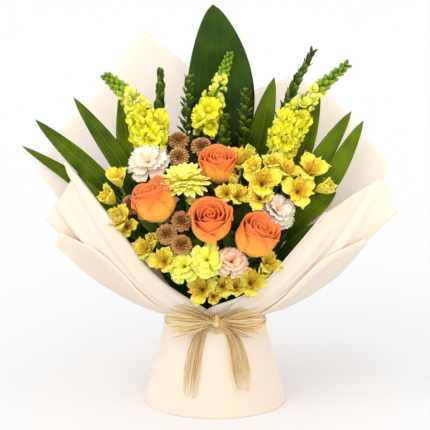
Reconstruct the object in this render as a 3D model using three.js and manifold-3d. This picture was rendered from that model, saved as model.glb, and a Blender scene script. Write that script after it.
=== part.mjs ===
// Mixed flower bouquet in a cream paper wrap, as a three.js scene graph.
// Millimetres, +Z up, the viewer at -Y.
// Roses, carnations, chrysanthemums, alstroemeria and snapdragons with leaves and twigs of greenery are
// held in one bundle of stems. Five paper sheets are gathered round the bundle, a flared paper skirt hides
// the stem ends and carries the bouquet upright, and a raffia bow is tied round the waist.
// Places are written from the skirt's axis at table height; the last lines centre the whole on its outline.
import * as THREE from "three";
import { mergeVertices } from "three/addons/utils/BufferGeometryUtils.js";
import Module from "manifold-3d";

const wasm = await Module();
wasm.setup();

// ---------------------------------------------------------------- driving dimensions
const FOOT_RADIUS = 86; // skirt at the table
const WAIST_RADIUS = 57.5; // skirt's top rim
const WAIST_HEIGHT = 106;
const SKIRT_WALL = 1.4;
const PAPER = 0.9; // thickness of a wrap sheet
const TIE_HEIGHT = 62; // where the sheets are bound to the stems, inside the skirt
const TIE_RADIUS = 27; // innermost sheet at the binding
const LAYER_STEP = 1.5; // from one sheet to the next, at the binding and at the neck
const NECK_RADIUS = 50.3; // innermost sheet at the neck
const NECK_HEIGHT = 109;
const BUNDLE_RADIUS = 26; // bundle of stems at the binding
const BUNDLE_TOP = 124.5;
const STEM_WIDTH = 5;
const GAP = 0.45; // clearance cut round a neighbour
const SEAT = 0.5; // between a head and the green cup that it sits in
const PETAL = 1.3; // thickness at the middle of a petal or leaf, which thins to its edge

const ROSE_WIDTH = 54;
const CARNATION_WIDTH = 46;
const BUTTON_WIDTH = 25;
const DAISY_WIDTH = 62;
const LILY_WIDTH = 50; // open alstroemeria flower
const FLORET_LENGTH = 21; // open snapdragon floret

// ---------------------------------------------------------------- small tools
const vec = (x, y, z) => new THREE.Vector3(x, y, z);
const rad = THREE.MathUtils.degToRad;
const lerp = THREE.MathUtils.lerp;
const UP = vec(0, 0, 1);
const GOLDEN_TURN = rad(137.5);

// A closed geometry whose shared vertices are merged, as a manifold solid.
function solidOf(geometry) {
  const bare = geometry.clone();
  bare.deleteAttribute("normal");
  bare.deleteAttribute("uv");
  const merged = mergeVertices(bare, 1e-4);
  return new wasm.Manifold(
    new wasm.Mesh({
      numProp: 3,
      vertProperties: merged.attributes.position.array,
      triVerts: new Uint32Array(merged.index.array),
    }),
  );
}

function geometryOf(solid) {
  const mesh = solid.getMesh();
  return new THREE.BufferGeometry()
    .setAttribute("position", new THREE.BufferAttribute(mesh.vertProperties, 3))
    .setIndex(new THREE.BufferAttribute(mesh.triVerts, 1))
    .toNonIndexed();
}

// Joins solids into one, then drops corners that bend its surface by less than `smooth`.
const fuse = (solids, smooth = 0.2) => wasm.Manifold.union(solids).asOriginal().simplify(smooth);

const moved = (solid, matrix) => solid.transform(matrix.elements);

// A frame at a point with its +Z along a direction, rolled about it.
function aimed(at, direction, roll = 0) {
  const turn = new THREE.Quaternion().setFromUnitVectors(UP, direction.clone().normalize());
  turn.multiply(new THREE.Quaternion().setFromAxisAngle(UP, roll));
  return new THREE.Matrix4().compose(at, turn, vec(1, 1, 1));
}

const about = (solid, turn) => moved(solid, new THREE.Matrix4().makeRotationZ(turn));

// A thin closed sheet over surface(u, v), with u from 0 to 1 along it and v from -1 to 1 across it.
// A sharp sheet thins to nothing at its rim, as a petal does; the other kind has a full, cut edge.
function sheet(surface, along, across, thickness, sharp = true) {
  const points = [];
  const front = [];
  const back = [];
  const STEP = 1e-3;
  for (let i = 0; i <= along; i++) {
    for (let j = 0; j <= across; j++) {
      const u = i / along;
      const v = (2 * j) / across - 1;
      const p = surface(u, v);
      const onRim = i === 0 || i === along || j === 0 || j === across;
      if (sharp && onRim) {
        front.push(points.length);
        back.push(points.length);
        points.push(p);
        continue;
      }
      const du = surface(Math.min(1, u + STEP), v).sub(surface(Math.max(0, u - STEP), v));
      const dv = surface(u, Math.min(1, v + STEP)).sub(surface(u, Math.max(-1, v - STEP)));
      const normal = du.cross(dv).normalize().multiplyScalar(thickness / 2);
      front.push(points.length);
      points.push(p.clone().add(normal));
      back.push(points.length);
      points.push(p.clone().sub(normal));
    }
  }
  const faces = [];
  const row = across + 1;
  const quad = (a, b, c, d) => faces.push(a, b, c, a, c, d);
  for (let i = 0; i < along; i++) {
    for (let j = 0; j < across; j++) {
      const k = [i * row + j, (i + 1) * row + j, (i + 1) * row + j + 1, i * row + j + 1];
      quad(...k.map((n) => front[n]));
      const [a, b, c, d] = k.map((n) => back[n]);
      faces.push(a, c, b, a, d, c);
    }
  }
  if (!sharp) {
    const rim = [];
    for (let j = 0; j < across; j++) rim.push([j, j + 1]);
    for (let i = 0; i < along; i++) rim.push([i * row + across, (i + 1) * row + across]);
    for (let j = across; j > 0; j--) rim.push([along * row + j, along * row + j - 1]);
    for (let i = along; i > 0; i--) rim.push([i * row, (i - 1) * row]);
    for (const [a, b] of rim) quad(front[a], front[b], back[b], back[a]);
  }
  const geometry = new THREE.BufferGeometry();
  geometry.setAttribute("position", new THREE.Float32BufferAttribute(points.flatMap((p) => p.toArray()), 3));
  geometry.setIndex(faces);
  return solidOf(geometry);
}

// A stem of even thickness along a smooth curve through points, in `steps` straight lengths.
function stem(points, width, steps, sides = 4) {
  const section = new THREE.Shape();
  for (let i = 0; i < sides; i++) {
    const turn = (2 * Math.PI * i) / sides;
    const to = [(width / 2) * Math.cos(turn), (width / 2) * Math.sin(turn)];
    if (i === 0) section.moveTo(...to);
    else section.lineTo(...to);
  }
  const extrudePath = new THREE.CatmullRomCurve3(points);
  return solidOf(new THREE.ExtrudeGeometry(section, { steps, extrudePath, bevelEnabled: false }));
}

// The middle of such a stem, and the way it runs, at a share t of its length.
function alongStem(points, steps) {
  const ends = new THREE.CatmullRomCurve3(points).getSpacedPoints(steps);
  return (t) => {
    const low = Math.min(Math.floor(t * steps), steps - 1);
    const at = ends[low].clone().lerp(ends[low + 1], t * steps - low);
    return { at, ahead: ends[low + 1].clone().sub(ends[low]).normalize() };
  };
}

// The way that leaves a stem at `turn` round it, `rise` of the way toward its tip.
function sideways(ahead, turn, rise) {
  const level = new THREE.Quaternion().setFromUnitVectors(UP, ahead);
  const out = vec(Math.cos(turn), Math.sin(turn), 0).applyQuaternion(level);
  return out.addScaledVector(ahead, rise).normalize();
}

// ---------------------------------------------------------------- petals and leaves
// Width along a petal: narrow at the foot, widest at belly, and tip wide at the end, as shares of its width.
function outline(u, foot, belly, tip) {
  if (u < belly) return lerp(foot, 1, Math.sin((Math.PI / 2) * (u / belly)));
  return lerp(tip, 1, Math.cos((Math.PI / 2) * ((u - belly) / (1 - belly))));
}

// A closed pillow over a ring of points, thick in the middle and sharp at its rim.
function pillow(rim, thickness = PETAL) {
  const centre = rim.reduce((sum, p) => sum.add(p), vec(0, 0, 0)).divideScalar(rim.length);
  const normal = vec(0, 0, 0);
  rim.forEach((p, i) => {
    const next = rim[(i + 1) % rim.length];
    normal.add(p.clone().sub(centre).cross(next.clone().sub(centre)));
  });
  normal.normalize().multiplyScalar(thickness / 2);
  const points = [...rim, centre.clone().add(normal), centre.clone().sub(normal)];
  const faces = rim.flatMap((p, i) => {
    const next = (i + 1) % rim.length;
    return [rim.length, i, next, rim.length + 1, next, i];
  });
  const geometry = new THREE.BufferGeometry().setFromPoints(points);
  geometry.setIndex(faces);
  return solidOf(geometry);
}

// A ruffled fan that leaves the origin at `lean` degrees off +Z, toward +X, with its rim in and out by turns.
function fan(length, width, lean, ruffle, teeth = 5) {
  const rim = [vec(0, 0, 0)];
  for (let i = 0; i < teeth; i++) {
    const across = (2 * i) / (teeth - 1) - 1;
    const reach = length * (1 - 0.22 * across * across);
    rim.push(vec(i % 2 ? ruffle : -ruffle, (across * width) / 2, reach));
  }
  return pillow(rim, PETAL * 1.2).rotate([0, lean, 0]);
}

// A narrow flat petal or leaflet that leaves the origin at `lean` degrees off +Z, toward +X.
function sliver(length, width, lean, thickness = PETAL) {
  const blade = new THREE.OctahedronGeometry(0.5).translate(0, 0, 0.5).scale(thickness, width, length);
  return solidOf(blade.rotateY(rad(lean)));
}

// A rose petal: part of a cup round the axis, with one side a little further out so that the petals wind.
function rosePetal(radius, height, halfArc, flare, wind) {
  const surface = (u, v) => {
    const belly = Math.sin((Math.PI / 2) * Math.min(1, u / 0.5));
    const rim = Math.max(0, (u - 0.7) / 0.3);
    const narrowing = 1 - 0.14 * Math.max(0, (u - 0.5) / 0.5) ** 2;
    const r = radius * (0.2 + 0.8 * belly) * narrowing + flare * rim * rim + wind * v;
    const turn = rad(halfArc) * v * (0.55 + 0.45 * belly);
    return vec(r * Math.cos(turn), r * Math.sin(turn), height * (u - 0.16 * u * v * v));
  };
  return sheet(surface, 2, 3, PETAL);
}

function roseHead(width) {
  const radius = width / 2;
  const height = width * 0.92;
  // [how many, share of the radius, share of the height, half of the arc, flare of the rim, wind]
  const whorls = [
    [2, 0.28, 0.9, 85, 0, 1],
    [3, 0.5, 0.94, 66, 0.5, 1.2],
    [3, 0.72, 0.97, 62, 1.5, 1.4],
    [4, 0.9, 0.92, 52, 3.5, 1.6],
  ];
  const core = new THREE.CylinderGeometry(radius * 0.66, radius * 0.2, height * 0.4, 6).rotateX(Math.PI / 2);
  const parts = [solidOf(core.translate(0, 0, height * 0.2))];
  whorls.forEach(([count, share, tall, arc, flare, wind], w) => {
    for (let i = 0; i < count; i++) {
      const turn = (2 * Math.PI * i) / count + w * 1.1;
      parts.push(about(rosePetal(radius * share, height * tall, arc, flare, wind), turn));
    }
  });
  return fuse(parts);
}

// Ruffled carnation: whorls of toothed fans round a crumpled middle.
function carnationHead(width) {
  const parts = [crown(width * 0.2, width * 0.42, 7, 2, 2.4, 0.12)];
  // [how many, length, width, lean]
  const whorls = [[5, 0.53, 0.56, 82], [4, 0.52, 0.5, 50], [3, 0.5, 0.34, 20]];
  whorls.forEach(([count, length, wide, lean], w) => {
    for (let i = 0; i < count; i++) {
      const petal = fan(width * length, width * wide, lean + 6 * (i % 2), width * 0.04);
      parts.push(about(petal.translate([0.5, 0, 1.5 + w]), (2 * Math.PI * (i + 0.5 * w)) / count));
    }
  });
  return fuse(parts);
}

// A closed dome whose rings stand in and out by turns, as tight florets do, on a foot like a point.
function crown(radius, height, sectors, rings, relief, scallop) {
  const points = [vec(0, 0, height)];
  const faces = [];
  for (let ring = 1; ring <= rings; ring++) {
    for (let s = 0; s < sectors; s++) {
      const odd = (s + ring) % 2 ? 1 : -1;
      const polar = (Math.PI / 2) * (ring / rings) * 1.05;
      const turn = (2 * Math.PI * (s + ring / 2)) / sectors;
      const r = radius * Math.sin(polar) * (1 + scallop * odd);
      points.push(vec(r * Math.cos(turn), r * Math.sin(turn),
        height * (0.45 + 0.55 * Math.cos(polar)) + (relief / 2) * odd));
    }
  }
  points.push(vec(0, 0, 0));
  const at = (ring, s) => 1 + (ring - 1) * sectors + ((s + sectors) % sectors);
  for (let s = 0; s < sectors; s++) {
    faces.push(0, at(1, s), at(1, s + 1));
    for (let ring = 1; ring < rings; ring++) {
      faces.push(at(ring, s), at(ring + 1, s), at(ring, s + 1));
      faces.push(at(ring, s + 1), at(ring + 1, s), at(ring + 1, s + 1));
    }
    faces.push(at(rings, s), points.length - 1, at(rings, s + 1));
  }
  const geometry = new THREE.BufferGeometry();
  geometry.setAttribute("position", new THREE.Float32BufferAttribute(points.flatMap((p) => p.toArray()), 3));
  geometry.setIndex(faces);
  return solidOf(geometry);
}

const buttonHead = (width) => crown(width / 2, width * 0.62, 14, 3, 1.6, 0.05);

// Lemon chrysanthemum: three whorls of strap petals round a low eye.
function daisyHead(width) {
  const parts = [crown(width * 0.15, width * 0.26, 8, 2, 1.2, 0.08)];
  // [how many, length, lean, lift]
  const whorls = [[9, 0.5, 84, 3], [7, 0.46, 60, 5], [4, 0.38, 34, 6]];
  whorls.forEach(([count, share, lean, lift], w) => {
    const strap = sliver(width * share, width * 0.17, lean, PETAL * 1.3).translate([0, 0, lift]);
    for (let i = 0; i < count; i++) parts.push(about(strap, (2 * Math.PI * (i + 0.5 * (w % 2))) / count));
  });
  return fuse(parts);
}

// Alstroemeria flower: three broad outer tepals and three narrow inner ones, bent back from a slim throat.
function lilyHead(width, openness = 1) {
  const throat = new THREE.CylinderGeometry(width * 0.1, width * 0.03, width * 0.3, 3).rotateX(Math.PI / 2);
  const parts = [solidOf(throat.translate(0, 0, width * 0.15))];
  const tepal = (length, wide, lean) => {
    const at = (along, out, side) => vec(-out, side, along);
    const rim = [at(0, 0, 0), at(length * 0.52, 0, wide / 2), at(length, -length * 0.14, 0),
      at(length * 0.52, 0, -wide / 2)];
    return pillow(rim, PETAL * 1.2).rotate([0, lean, 0]).translate([-width * 0.03, 0, width * 0.1]);
  };
  for (let i = 0; i < 3; i++) {
    const turn = (2 * Math.PI * i) / 3;
    parts.push(about(tepal(width * 0.6, width * 0.4, 24 + 46 * openness), turn));
    parts.push(about(tepal(width * 0.56, width * 0.26, 12 + 36 * openness), turn + Math.PI / 3));
  }
  return fuse(parts);
}

// Snapdragon floret along +Z: a pouch with an upper lip turned up, toward +X, and a lower lip turned down.
function floret(length) {
  const pouch = new THREE.OctahedronGeometry(0.5).translate(0, 0, 0.5);
  pouch.scale(length * 0.5, length * 0.5, length);
  const upper = fan(length * 1.05, length * 0.95, 38, length * 0.07, 3);
  const lower = fan(length, length * 0.95, 40, length * 0.07, 3);
  return fuse([solidOf(pouch), upper, about(lower, Math.PI)]);
}

// A leaf blade along a smooth curve: from a stalk at its foot to a pointed tip, folded along its rib.
// `face` is the way that its upper side looks.
function leafBlade({ line, width, face, stalk = 0.35, belly = 0.55, fold = 0.25, along = 6 }) {
  const curve = new THREE.CatmullRomCurve3(line.map((p) => vec(...p)));
  const up = vec(...face).normalize();
  const surface = (u, v) => {
    const at = curve.getPoint(u);
    const ahead = curve.getTangent(u);
    const side = ahead.clone().cross(up).normalize();
    const top = side.clone().cross(ahead).normalize();
    const blade = Math.max(0, (u - stalk) / (1 - stalk));
    const wide = u < stalk ? 0 : outline(blade, 0, belly - 0.1, 0);
    const half = Math.max(STEM_WIDTH * 0.32 * (1 - u * 0.7), (width / 2) * wide);
    return at.addScaledVector(side, half * v).addScaledVector(top, fold * half * Math.abs(v));
  };
  return sheet(surface, along, 2, PETAL * 1.1);
}

// A twig with small leaves in pairs, each pair turned a quarter from the last and crowding to the tip.
function twig({ line, leaf, pairs, from = 0.35, width = 2.4, splay = 42 }) {
  const points = line.map((p) => vec(...p));
  const STEPS = 4;
  const parts = [stem(points, width, STEPS)];
  const along = alongStem(points, STEPS);
  for (let i = 0; i < pairs; i++) {
    const { at, ahead } = along(lerp(from, 0.985, i / (pairs - 1)));
    const small = lerp(1, 0.62, i / (pairs - 1));
    const blade = sliver(leaf * small, leaf * 0.5 * small, splay);
    const turn = (i % 2) * (Math.PI / 2) + 0.3;
    parts.push(moved(blade, aimed(at, ahead, turn)), moved(blade, aimed(at, ahead, turn + Math.PI)));
  }
  return fuse(parts);
}

// A flower spike: open florets low on it and buds that shrink to its tip, each a golden turn from the last.
function spike(points, open, size) {
  const STEPS = 6;
  const BUDS = 8;
  const parts = [stem(points, STEM_WIDTH * 0.7, STEPS)];
  const along = alongStem(points, STEPS);
  for (let i = 0; i < open; i++) {
    const { at, ahead } = along(lerp(0.02, 0.56, i / (open - 1)));
    const facing = sideways(ahead, i * GOLDEN_TURN + 0.4, 0.35);
    const lip = ahead.clone().applyQuaternion(new THREE.Quaternion().setFromUnitVectors(facing, UP));
    const length = FLORET_LENGTH * size * lerp(1.05, 0.8, i / (open - 1));
    parts.push(moved(floret(length), aimed(at, facing, Math.atan2(lip.y, lip.x))));
  }
  for (let i = 0; i < BUDS; i++) {
    const { at, ahead } = along(lerp(0.62, 0.99, i / (BUDS - 1)));
    const long = lerp(13, 6, i / (BUDS - 1)) * size;
    const bud = new THREE.OctahedronGeometry(0.5).translate(0, 0, 0.4).scale(long * 0.5, long * 0.5, long);
    parts.push(moved(solidOf(bud), aimed(at, sideways(ahead, i * GOLDEN_TURN, 0.8))));
  }
  return parts;
}

// ---------------------------------------------------------------- the flowers' places
// Each head: its middle, the way it faces, and its roll about that way.
const ROSES = {
  rose_left: { at: [-68, -70, 253], face: [-0.38, -0.2, 0.9], roll: 0.4, width: ROSE_WIDTH },
  rose_top: { at: [3, -46, 291], face: [0.04, -0.36, 0.93], roll: 1.0, width: ROSE_WIDTH * 0.84 },
  rose_middle: { at: [-5, -88, 234], face: [-0.04, -0.64, 0.77], roll: 0.2, width: ROSE_WIDTH * 0.96 },
  rose_right: { at: [45, -86, 216], face: [0.42, -0.4, 0.82], roll: 1.7, width: ROSE_WIDTH * 0.97 },
};
const CARNATIONS = {
  carnation_left: { at: [-80, -42, 302], face: [-0.28, -0.62, 0.73], roll: 0.2, width: CARNATION_WIDTH },
  carnation_right: { at: [73, -62, 247], face: [0.42, -0.6, 0.68], roll: 0.8, width: CARNATION_WIDTH * 0.95 },
  carnation_low: { at: [19, -94, 192], face: [0.12, -0.82, 0.56], roll: 0.5, width: CARNATION_WIDTH * 0.76 },
  lime_carnation_left: { at: [-37, -93, 187], face: [-0.28, -0.8, 0.53], roll: 0.1,
    width: CARNATION_WIDTH * 0.7 },
  lime_carnation_right: { at: [-9, -97, 196], face: [0.1, -0.8, 0.59], roll: 0.6,
    width: CARNATION_WIDTH * 0.7 },
};
const DAISIES = {
  lemon_chrysanthemum: { at: [-36, -60, 283], face: [-0.06, -0.32, 0.94], roll: 0 },
};
const BUTTONS = {
  button_1: { at: [-44, -13, 321], face: [-0.15, -0.5, 0.85] },
  button_2: { at: [-43, -38, 305], face: [-0.15, -0.75, 0.65] },
  button_3: { at: [-16, -20, 315], face: [0.12, -0.55, 0.83] },
  button_4: { at: [-100, -47, 250], face: [-0.5, -0.6, 0.62] },
  button_5: { at: [-39, -76, 236], face: [0.1, -0.8, 0.59] },
  button_6: { at: [-57, -82, 222], face: [-0.2, -0.78, 0.6] },
  button_7: { at: [-39, -90, 211], face: [0, -0.8, 0.6] },
  button_8: { at: [27, -72, 174], face: [0.15, -0.85, 0.5] },
};
// Alstroemeria sprays: where the flower stalks meet, and each flower with its width and how far it is open.
const SPRAYS = {
  alstroemeria_left: { hub: [-78, -30, 218], flowers: [
    { at: [-113, -44, 280], face: [-0.2, -0.45, 0.87], open: 0.55, width: 0.9, roll: 0.2 },
    { at: [-125, -46, 257], face: [-0.6, -0.5, 0.62], open: 0.6, width: 0.8, roll: 1 },
    { at: [-112, -62, 236], face: [-0.5, -0.72, 0.48], open: 0.9, width: 0.9, roll: 0.5 }] },
  alstroemeria_middle: { hub: [16, -34, 232], flowers: [
    { at: [28, -26, 300], face: [0.1, -0.5, 0.86], open: 0.8, width: 0.9, roll: 0.4 },
    { at: [24, -66, 268], face: [0.2, -0.8, 0.56], open: 0.8, width: 0.92, roll: 0 },
    { at: [-24, -64, 254], face: [-0.4, -0.7, 0.6], open: 0.6, width: 0.62, roll: 0.7 }] },
  alstroemeria_upper_right: { hub: [52, -24, 232], flowers: [
    { at: [55, -62, 280], face: [0.05, -0.86, 0.5], open: 1, width: 1.1, roll: 0.5 },
    { at: [84, -46, 290], face: [0.5, -0.5, 0.7], open: 0.8, width: 0.9, roll: 0.2 },
    { at: [98, -58, 268], face: [0.2, -0.9, 0.39], open: 1, width: 1, roll: 0.9 }] },
  alstroemeria_far_right: { hub: [84, -16, 232], flowers: [
    { at: [113, -42, 291], face: [0.25, -0.66, 0.71], open: 0.9, width: 1, roll: 0.1 },
    { at: [128, -46, 270], face: [0.8, -0.42, 0.43], open: 0.55, width: 0.85, roll: 0.6 }] },
  alstroemeria_low_left: { hub: [-56, -44, 164], flowers: [
    { at: [-82, -78, 203], face: [-0.55, -0.7, 0.46], open: 0.8, width: 0.85, roll: 0.3 },
    { at: [-60, -90, 192], face: [-0.25, -0.86, 0.44], open: 0.9, width: 0.85, roll: 0.9 }] },
  alstroemeria_foot: { hub: [-4, -44, 140], flowers: [
    { at: [-17, -90, 158], face: [-0.25, -0.9, 0.35], open: 0.85, width: 0.9, roll: 0.2 },
    { at: [9, -92, 163], face: [0.1, -0.9, 0.42], open: 0.8, width: 0.72, roll: 0.9 }] },
  alstroemeria_low_right: { hub: [34, -40, 164], flowers: [
    { at: [43, -86, 165], face: [0.25, -0.9, 0.36], open: 0.85, width: 0.92, roll: 0.5 },
    { at: [62, -82, 187], face: [0.5, -0.76, 0.42], open: 0.8, width: 0.8, roll: 0.1 }] },
};
// Snapdragon spikes: the line of the spike from its lowest floret to its tip.
const SPIKES = {
  snapdragon_left: { line: [[-80, -8, 308], [-84, -10, 334], [-99, -10, 366], [-127, -8, 394]],
    open: 9, size: 1 },
  snapdragon_middle: { line: [[-12, -4, 328], [-8, -4, 352], [4, 2, 382], [17, 8, 418]],
    open: 7, size: 0.86 },
  snapdragon_right: { line: [[78, -6, 304], [88, -8, 336], [110, -10, 368], [154, -8, 408]],
    open: 9, size: 1 },
};
const LEAVES = {
  leaf_tall: { line: [[0, 14, 125], [0, 34, 220], [5, 40, 310], [5, 42, 390], [-3, 42, 474]], width: 82,
    face: [0.1, -1, 0.1], stalk: 0.28, belly: 0.62, fold: 0.14, along: 8 },
  leaf_left_1: { line: [[-12, 6, 125], [-62, 6, 200], [-112, 2, 288], [-168, 10, 367]], width: 25,
    face: [0.2, -1, 0.25] },
  leaf_left_2: { line: [[-16, 2, 125], [-78, -6, 196], [-140, -6, 272], [-213, 0, 342]], width: 26,
    face: [0.1, -1, 0.35] },
  leaf_left_3: { line: [[-14, 10, 125], [-88, 18, 192], [-160, 24, 258], [-231, 20, 307]], width: 17,
    face: [-0.2, -0.8, 0.6] },
  leaf_left_4: { line: [[-8, 10, 125], [-52, 14, 210], [-98, 8, 290], [-113, 14, 372]], width: 29,
    face: [0.1, -1, 0.1] },
  leaf_left_5: { line: [[-14, -4, 125], [-70, -26, 180], [-122, -26, 232], [-172, -10, 282]], width: 26,
    face: [0.3, -1, 0.5] },
  leaf_right_1: { line: [[8, 10, 125], [34, 16, 220], [50, 12, 306], [70, 18, 390]], width: 31,
    face: [-0.2, -1, 0.1] },
  leaf_right_2: { line: [[10, 10, 125], [56, 18, 210], [100, 12, 296], [124, 14, 372]], width: 27,
    face: [-0.15, -1, 0.15] },
  leaf_right_3: { line: [[14, 4, 125], [66, 4, 200], [118, -2, 284], [161, 5, 351]], width: 25,
    face: [-0.1, -1, 0.2] },
  leaf_right_4: { line: [[16, 0, 125], [76, -10, 192], [134, -16, 270], [175, -2, 341]], width: 25,
    face: [-0.15, -1, 0.3] },
  leaf_under_1: { line: [[-20, -6, 125], [-58, -28, 178], [-95, -42, 217], [-120, -41, 239]], width: 24,
    face: [0.3, -0.8, 0.6] },
  leaf_under_2: { line: [[-3, -8, 125], [-10, -28, 180], [-16, -34, 230], [-18, -32, 268]], width: 42,
    face: [0, -1, 0.3] },
  leaf_under_3: { line: [[10, -8, 125], [24, -26, 180], [34, -34, 226], [38, -32, 262]], width: 42,
    face: [0, -1, 0.3] },
  leaf_under_4: { line: [[16, -6, 125], [62, -24, 186], [112, -30, 238], [142, -28, 260]], width: 28,
    face: [-0.2, -0.8, 0.6] },
  leaf_under_5: { line: [[20, -8, 125], [60, -34, 168], [102, -48, 206], [130, -44, 228]], width: 24,
    face: [-0.3, -0.8, 0.6] },
};
const TWIGS = {
  twig_left: { line: [[-6, 16, 125], [-46, 26, 230], [-66, 22, 330], [-65, 22, 393]],
    leaf: 23, pairs: 8, from: 0.5 },
  twig_middle: { line: [[-3, 12, 125], [-26, 16, 240], [-33, 8, 320], [-32, 16, 391]],
    leaf: 21, pairs: 8, from: 0.55, splay: 55 },
  twig_centre: { line: [[4, 8, 125], [6, 6, 220], [9, -8, 290], [10, -4, 346]],
    leaf: 22, pairs: 8, from: 0.6, splay: 38 },
  twig_back: { line: [[4, 16, 125], [22, 22, 240], [34, 0, 320], [36, 2, 375]],
    leaf: 21, pairs: 8, from: 0.5 },
  twig_right: { line: [[10, 14, 125], [50, 24, 250], [82, 18, 352], [115, 22, 420]],
    leaf: 22, pairs: 8, from: 0.6, splay: 34 },
};
// ---------------------------------------------------------------- paper sheets
// A sheet's columns run from the binding inside the skirt, over the neck at an azimuth (0 in front, positive
// to the right), and then through the listed points to its outer edge. Layer 0 is the innermost.
const SHEETS = {
  wrap_back_left: { layer: 0, columns: [
    [-78, [-84, 0, 130], [-146, 8, 192], [-216, 20, 280]],
    [-104, [-66, 20, 142], [-124, 36, 222], [-188, 42, 323]],
    [-128, [-50, 38, 152], [-92, 56, 250], [-135, 60, 378]],
    [-150, [-30, 50, 158], [-56, 68, 280], [-87, 74, 441]],
    [-174, [-8, 55, 156], [-22, 74, 265], [-34, 80, 396]],
    [-200, [18, 53, 150], [22, 76, 240], [45, 82, 366]]] },
  wrap_back_right: { layer: 1, columns: [
    [190, [-6, 60, 152], [0, 82, 240], [5, 92, 350]],
    [168, [12, 60, 154], [26, 83, 250], [46, 91, 364]],
    [145, [34, 53, 155], [62, 77, 262], [100, 82, 386]],
    [122, [56, 36, 148], [98, 60, 240], [140, 56, 362]],
    [100, [72, 16, 138], [130, 32, 210], [184, 34, 317]],
    [78, [84, -2, 130], [150, 2, 188], [210, 10, 286]]] },
  wrap_front_left: { layer: 2, columns: [
    [14, [-66, -82, 168], [-131, -60, 245], [-179, -20, 296]],
    [-24, [-76, -76, 150], [-136, -60, 222], [-170, -30, 274]],
    [-50, [-82, -60, 136], [-146, -48, 197], [-185, -25, 249]],
    [-76, [-84, -34, 127], [-149, -24, 174], [-203, -8, 225]],
    [-104, [-76, 2, 123], [-130, 4, 157], [-182, 6, 208]]] },
  wrap_front_right: { layer: 3, columns: [
    [-20, [50, -84, 161], [92, -68, 203], [128, -42, 237]],
    [20, [64, -78, 147], [116, -61, 195], [165, -26, 258]],
    [48, [76, -64, 135], [138, -50, 190], [198, -8, 273]],
    [76, [84, -36, 126], [151, -34, 178], [217, -12, 233]],
    [104, [76, 2, 121], [132, 2, 157], [180, 2, 208]]] },
  wrap_outer: { layer: 4, columns: [
    [-44, [-80, -72, 140], [-132, -61, 190], [-184, -29, 211]],
    [-72, [-90, -30, 123], [-143, -22, 154], [-190, -6, 191]],
    [-102, [-80, 12, 116], [-130, 16, 144], [-184, 22, 190]],
    [-140, [-58, 58, 126], [-92, 76, 176], [-134, 84, 236]],
    [-180, [0, 72, 140], [0, 92, 206], [0, 104, 286]],
    [-220, [58, 58, 126], [92, 76, 176], [134, 84, 236]],
    [-258, [80, 12, 116], [130, 16, 144], [180, 22, 190]],
    [-288, [89, -30, 123], [144, -22, 156], [183, -6, 194]],
    [-316, [78, -73, 140], [126, -62, 184], [176, -35, 205]]] },
};

const ROWS = 7; // rows of facets from the binding to the outer edge, the first of them up to the neck
const WIDEST_FACET = 14; // degrees of azimuth

function paperSheet({ layer, columns }) {
  const azimuth = (v) => {
    const at = ((v + 1) / 2) * (columns.length - 1);
    const low = Math.min(Math.floor(at), columns.length - 2);
    return rad(lerp(columns[low][0], columns[low + 1][0], at - low));
  };
  const ring = (radius, height, turn) => vec(radius * Math.sin(turn), -radius * Math.cos(turn), height);
  const neck = (turn) => ring(NECK_RADIUS + LAYER_STEP * layer, NECK_HEIGHT, turn);
  const lines = columns.map(([turn, ...outer]) => {
    return new THREE.CatmullRomCurve3([neck(rad(turn)), ...outer.map((p) => vec(...p))]);
  });
  const surface = (u, v) => {
    const out = (u * ROWS - 1) / (ROWS - 1);
    if (out <= 0) {
      const tie = ring(TIE_RADIUS + LAYER_STEP * layer, TIE_HEIGHT, azimuth(v));
      return tie.lerp(neck(azimuth(v)), u * ROWS);
    }
    const row = lines.map((line) => line.getPoint(out));
    const step = ((v + 1) / 2) * (row.length - 1);
    const low = Math.min(Math.floor(step), row.length - 2);
    const straight = row[low].clone().lerp(row[low + 1], step - low);
    return new THREE.CatmullRomCurve3(row).getPoint((v + 1) / 2).lerp(straight, out * out)
      .lerp(neck(azimuth(v)), Math.max(0, 1 - out * 8));
  };
  const gaps = columns.length - 1;
  const splits = Math.ceil(Math.abs(columns[gaps][0] - columns[0][0]) / gaps / WIDEST_FACET);
  return sheet(surface, ROWS, gaps * splits, PAPER, false);
}

// ---------------------------------------------------------------- skirt, tie and raffia
function skirt() {
  const out = (height) => lerp(FOOT_RADIUS, WAIST_RADIUS, height / WAIST_HEIGHT);
  const wall = [];
  const LEVELS = [0, WAIST_HEIGHT];
  LEVELS.forEach((z) => wall.push(new THREE.Vector2(out(z), z)));
  LEVELS.reverse().forEach((z) => wall.push(new THREE.Vector2(out(z) - SKIRT_WALL, z)));
  wall.push(wall[0].clone());
  return solidOf(new THREE.LatheGeometry(wall, 32).rotateX(Math.PI / 2));
}

// A ring of twisted strands lying round the paper: a tyre whose section bulges by turns.
function strandRing(radius, height, thick, tall, sectors, taper = 0) {
  const SIDES = 6;
  const points = [];
  const faces = [];
  for (let s = 0; s < sectors; s++) {
    const turn = (2 * Math.PI * s) / sectors;
    for (let k = 0; k < SIDES; k++) {
      const bulge = (s + k) % 2 ? 1 : 0.8;
      const side = (2 * Math.PI * k) / SIDES;
      const rise = (tall / 2) * bulge * Math.sin(side);
      const r = radius + (thick / 2) * bulge * Math.cos(side) - taper * rise;
      points.push(r * Math.sin(turn), -r * Math.cos(turn), height + rise);
      const next = (s + 1) % sectors;
      const [a, b] = [s * SIDES + k, s * SIDES + ((k + 1) % SIDES)];
      const [c, d] = [next * SIDES + ((k + 1) % SIDES), next * SIDES + k];
      faces.push(a, d, b, b, d, c);
    }
  }
  const geometry = new THREE.BufferGeometry();
  geometry.setAttribute("position", new THREE.Float32BufferAttribute(points, 3));
  geometry.setIndex(faces);
  return solidOf(geometry);
}

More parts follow.
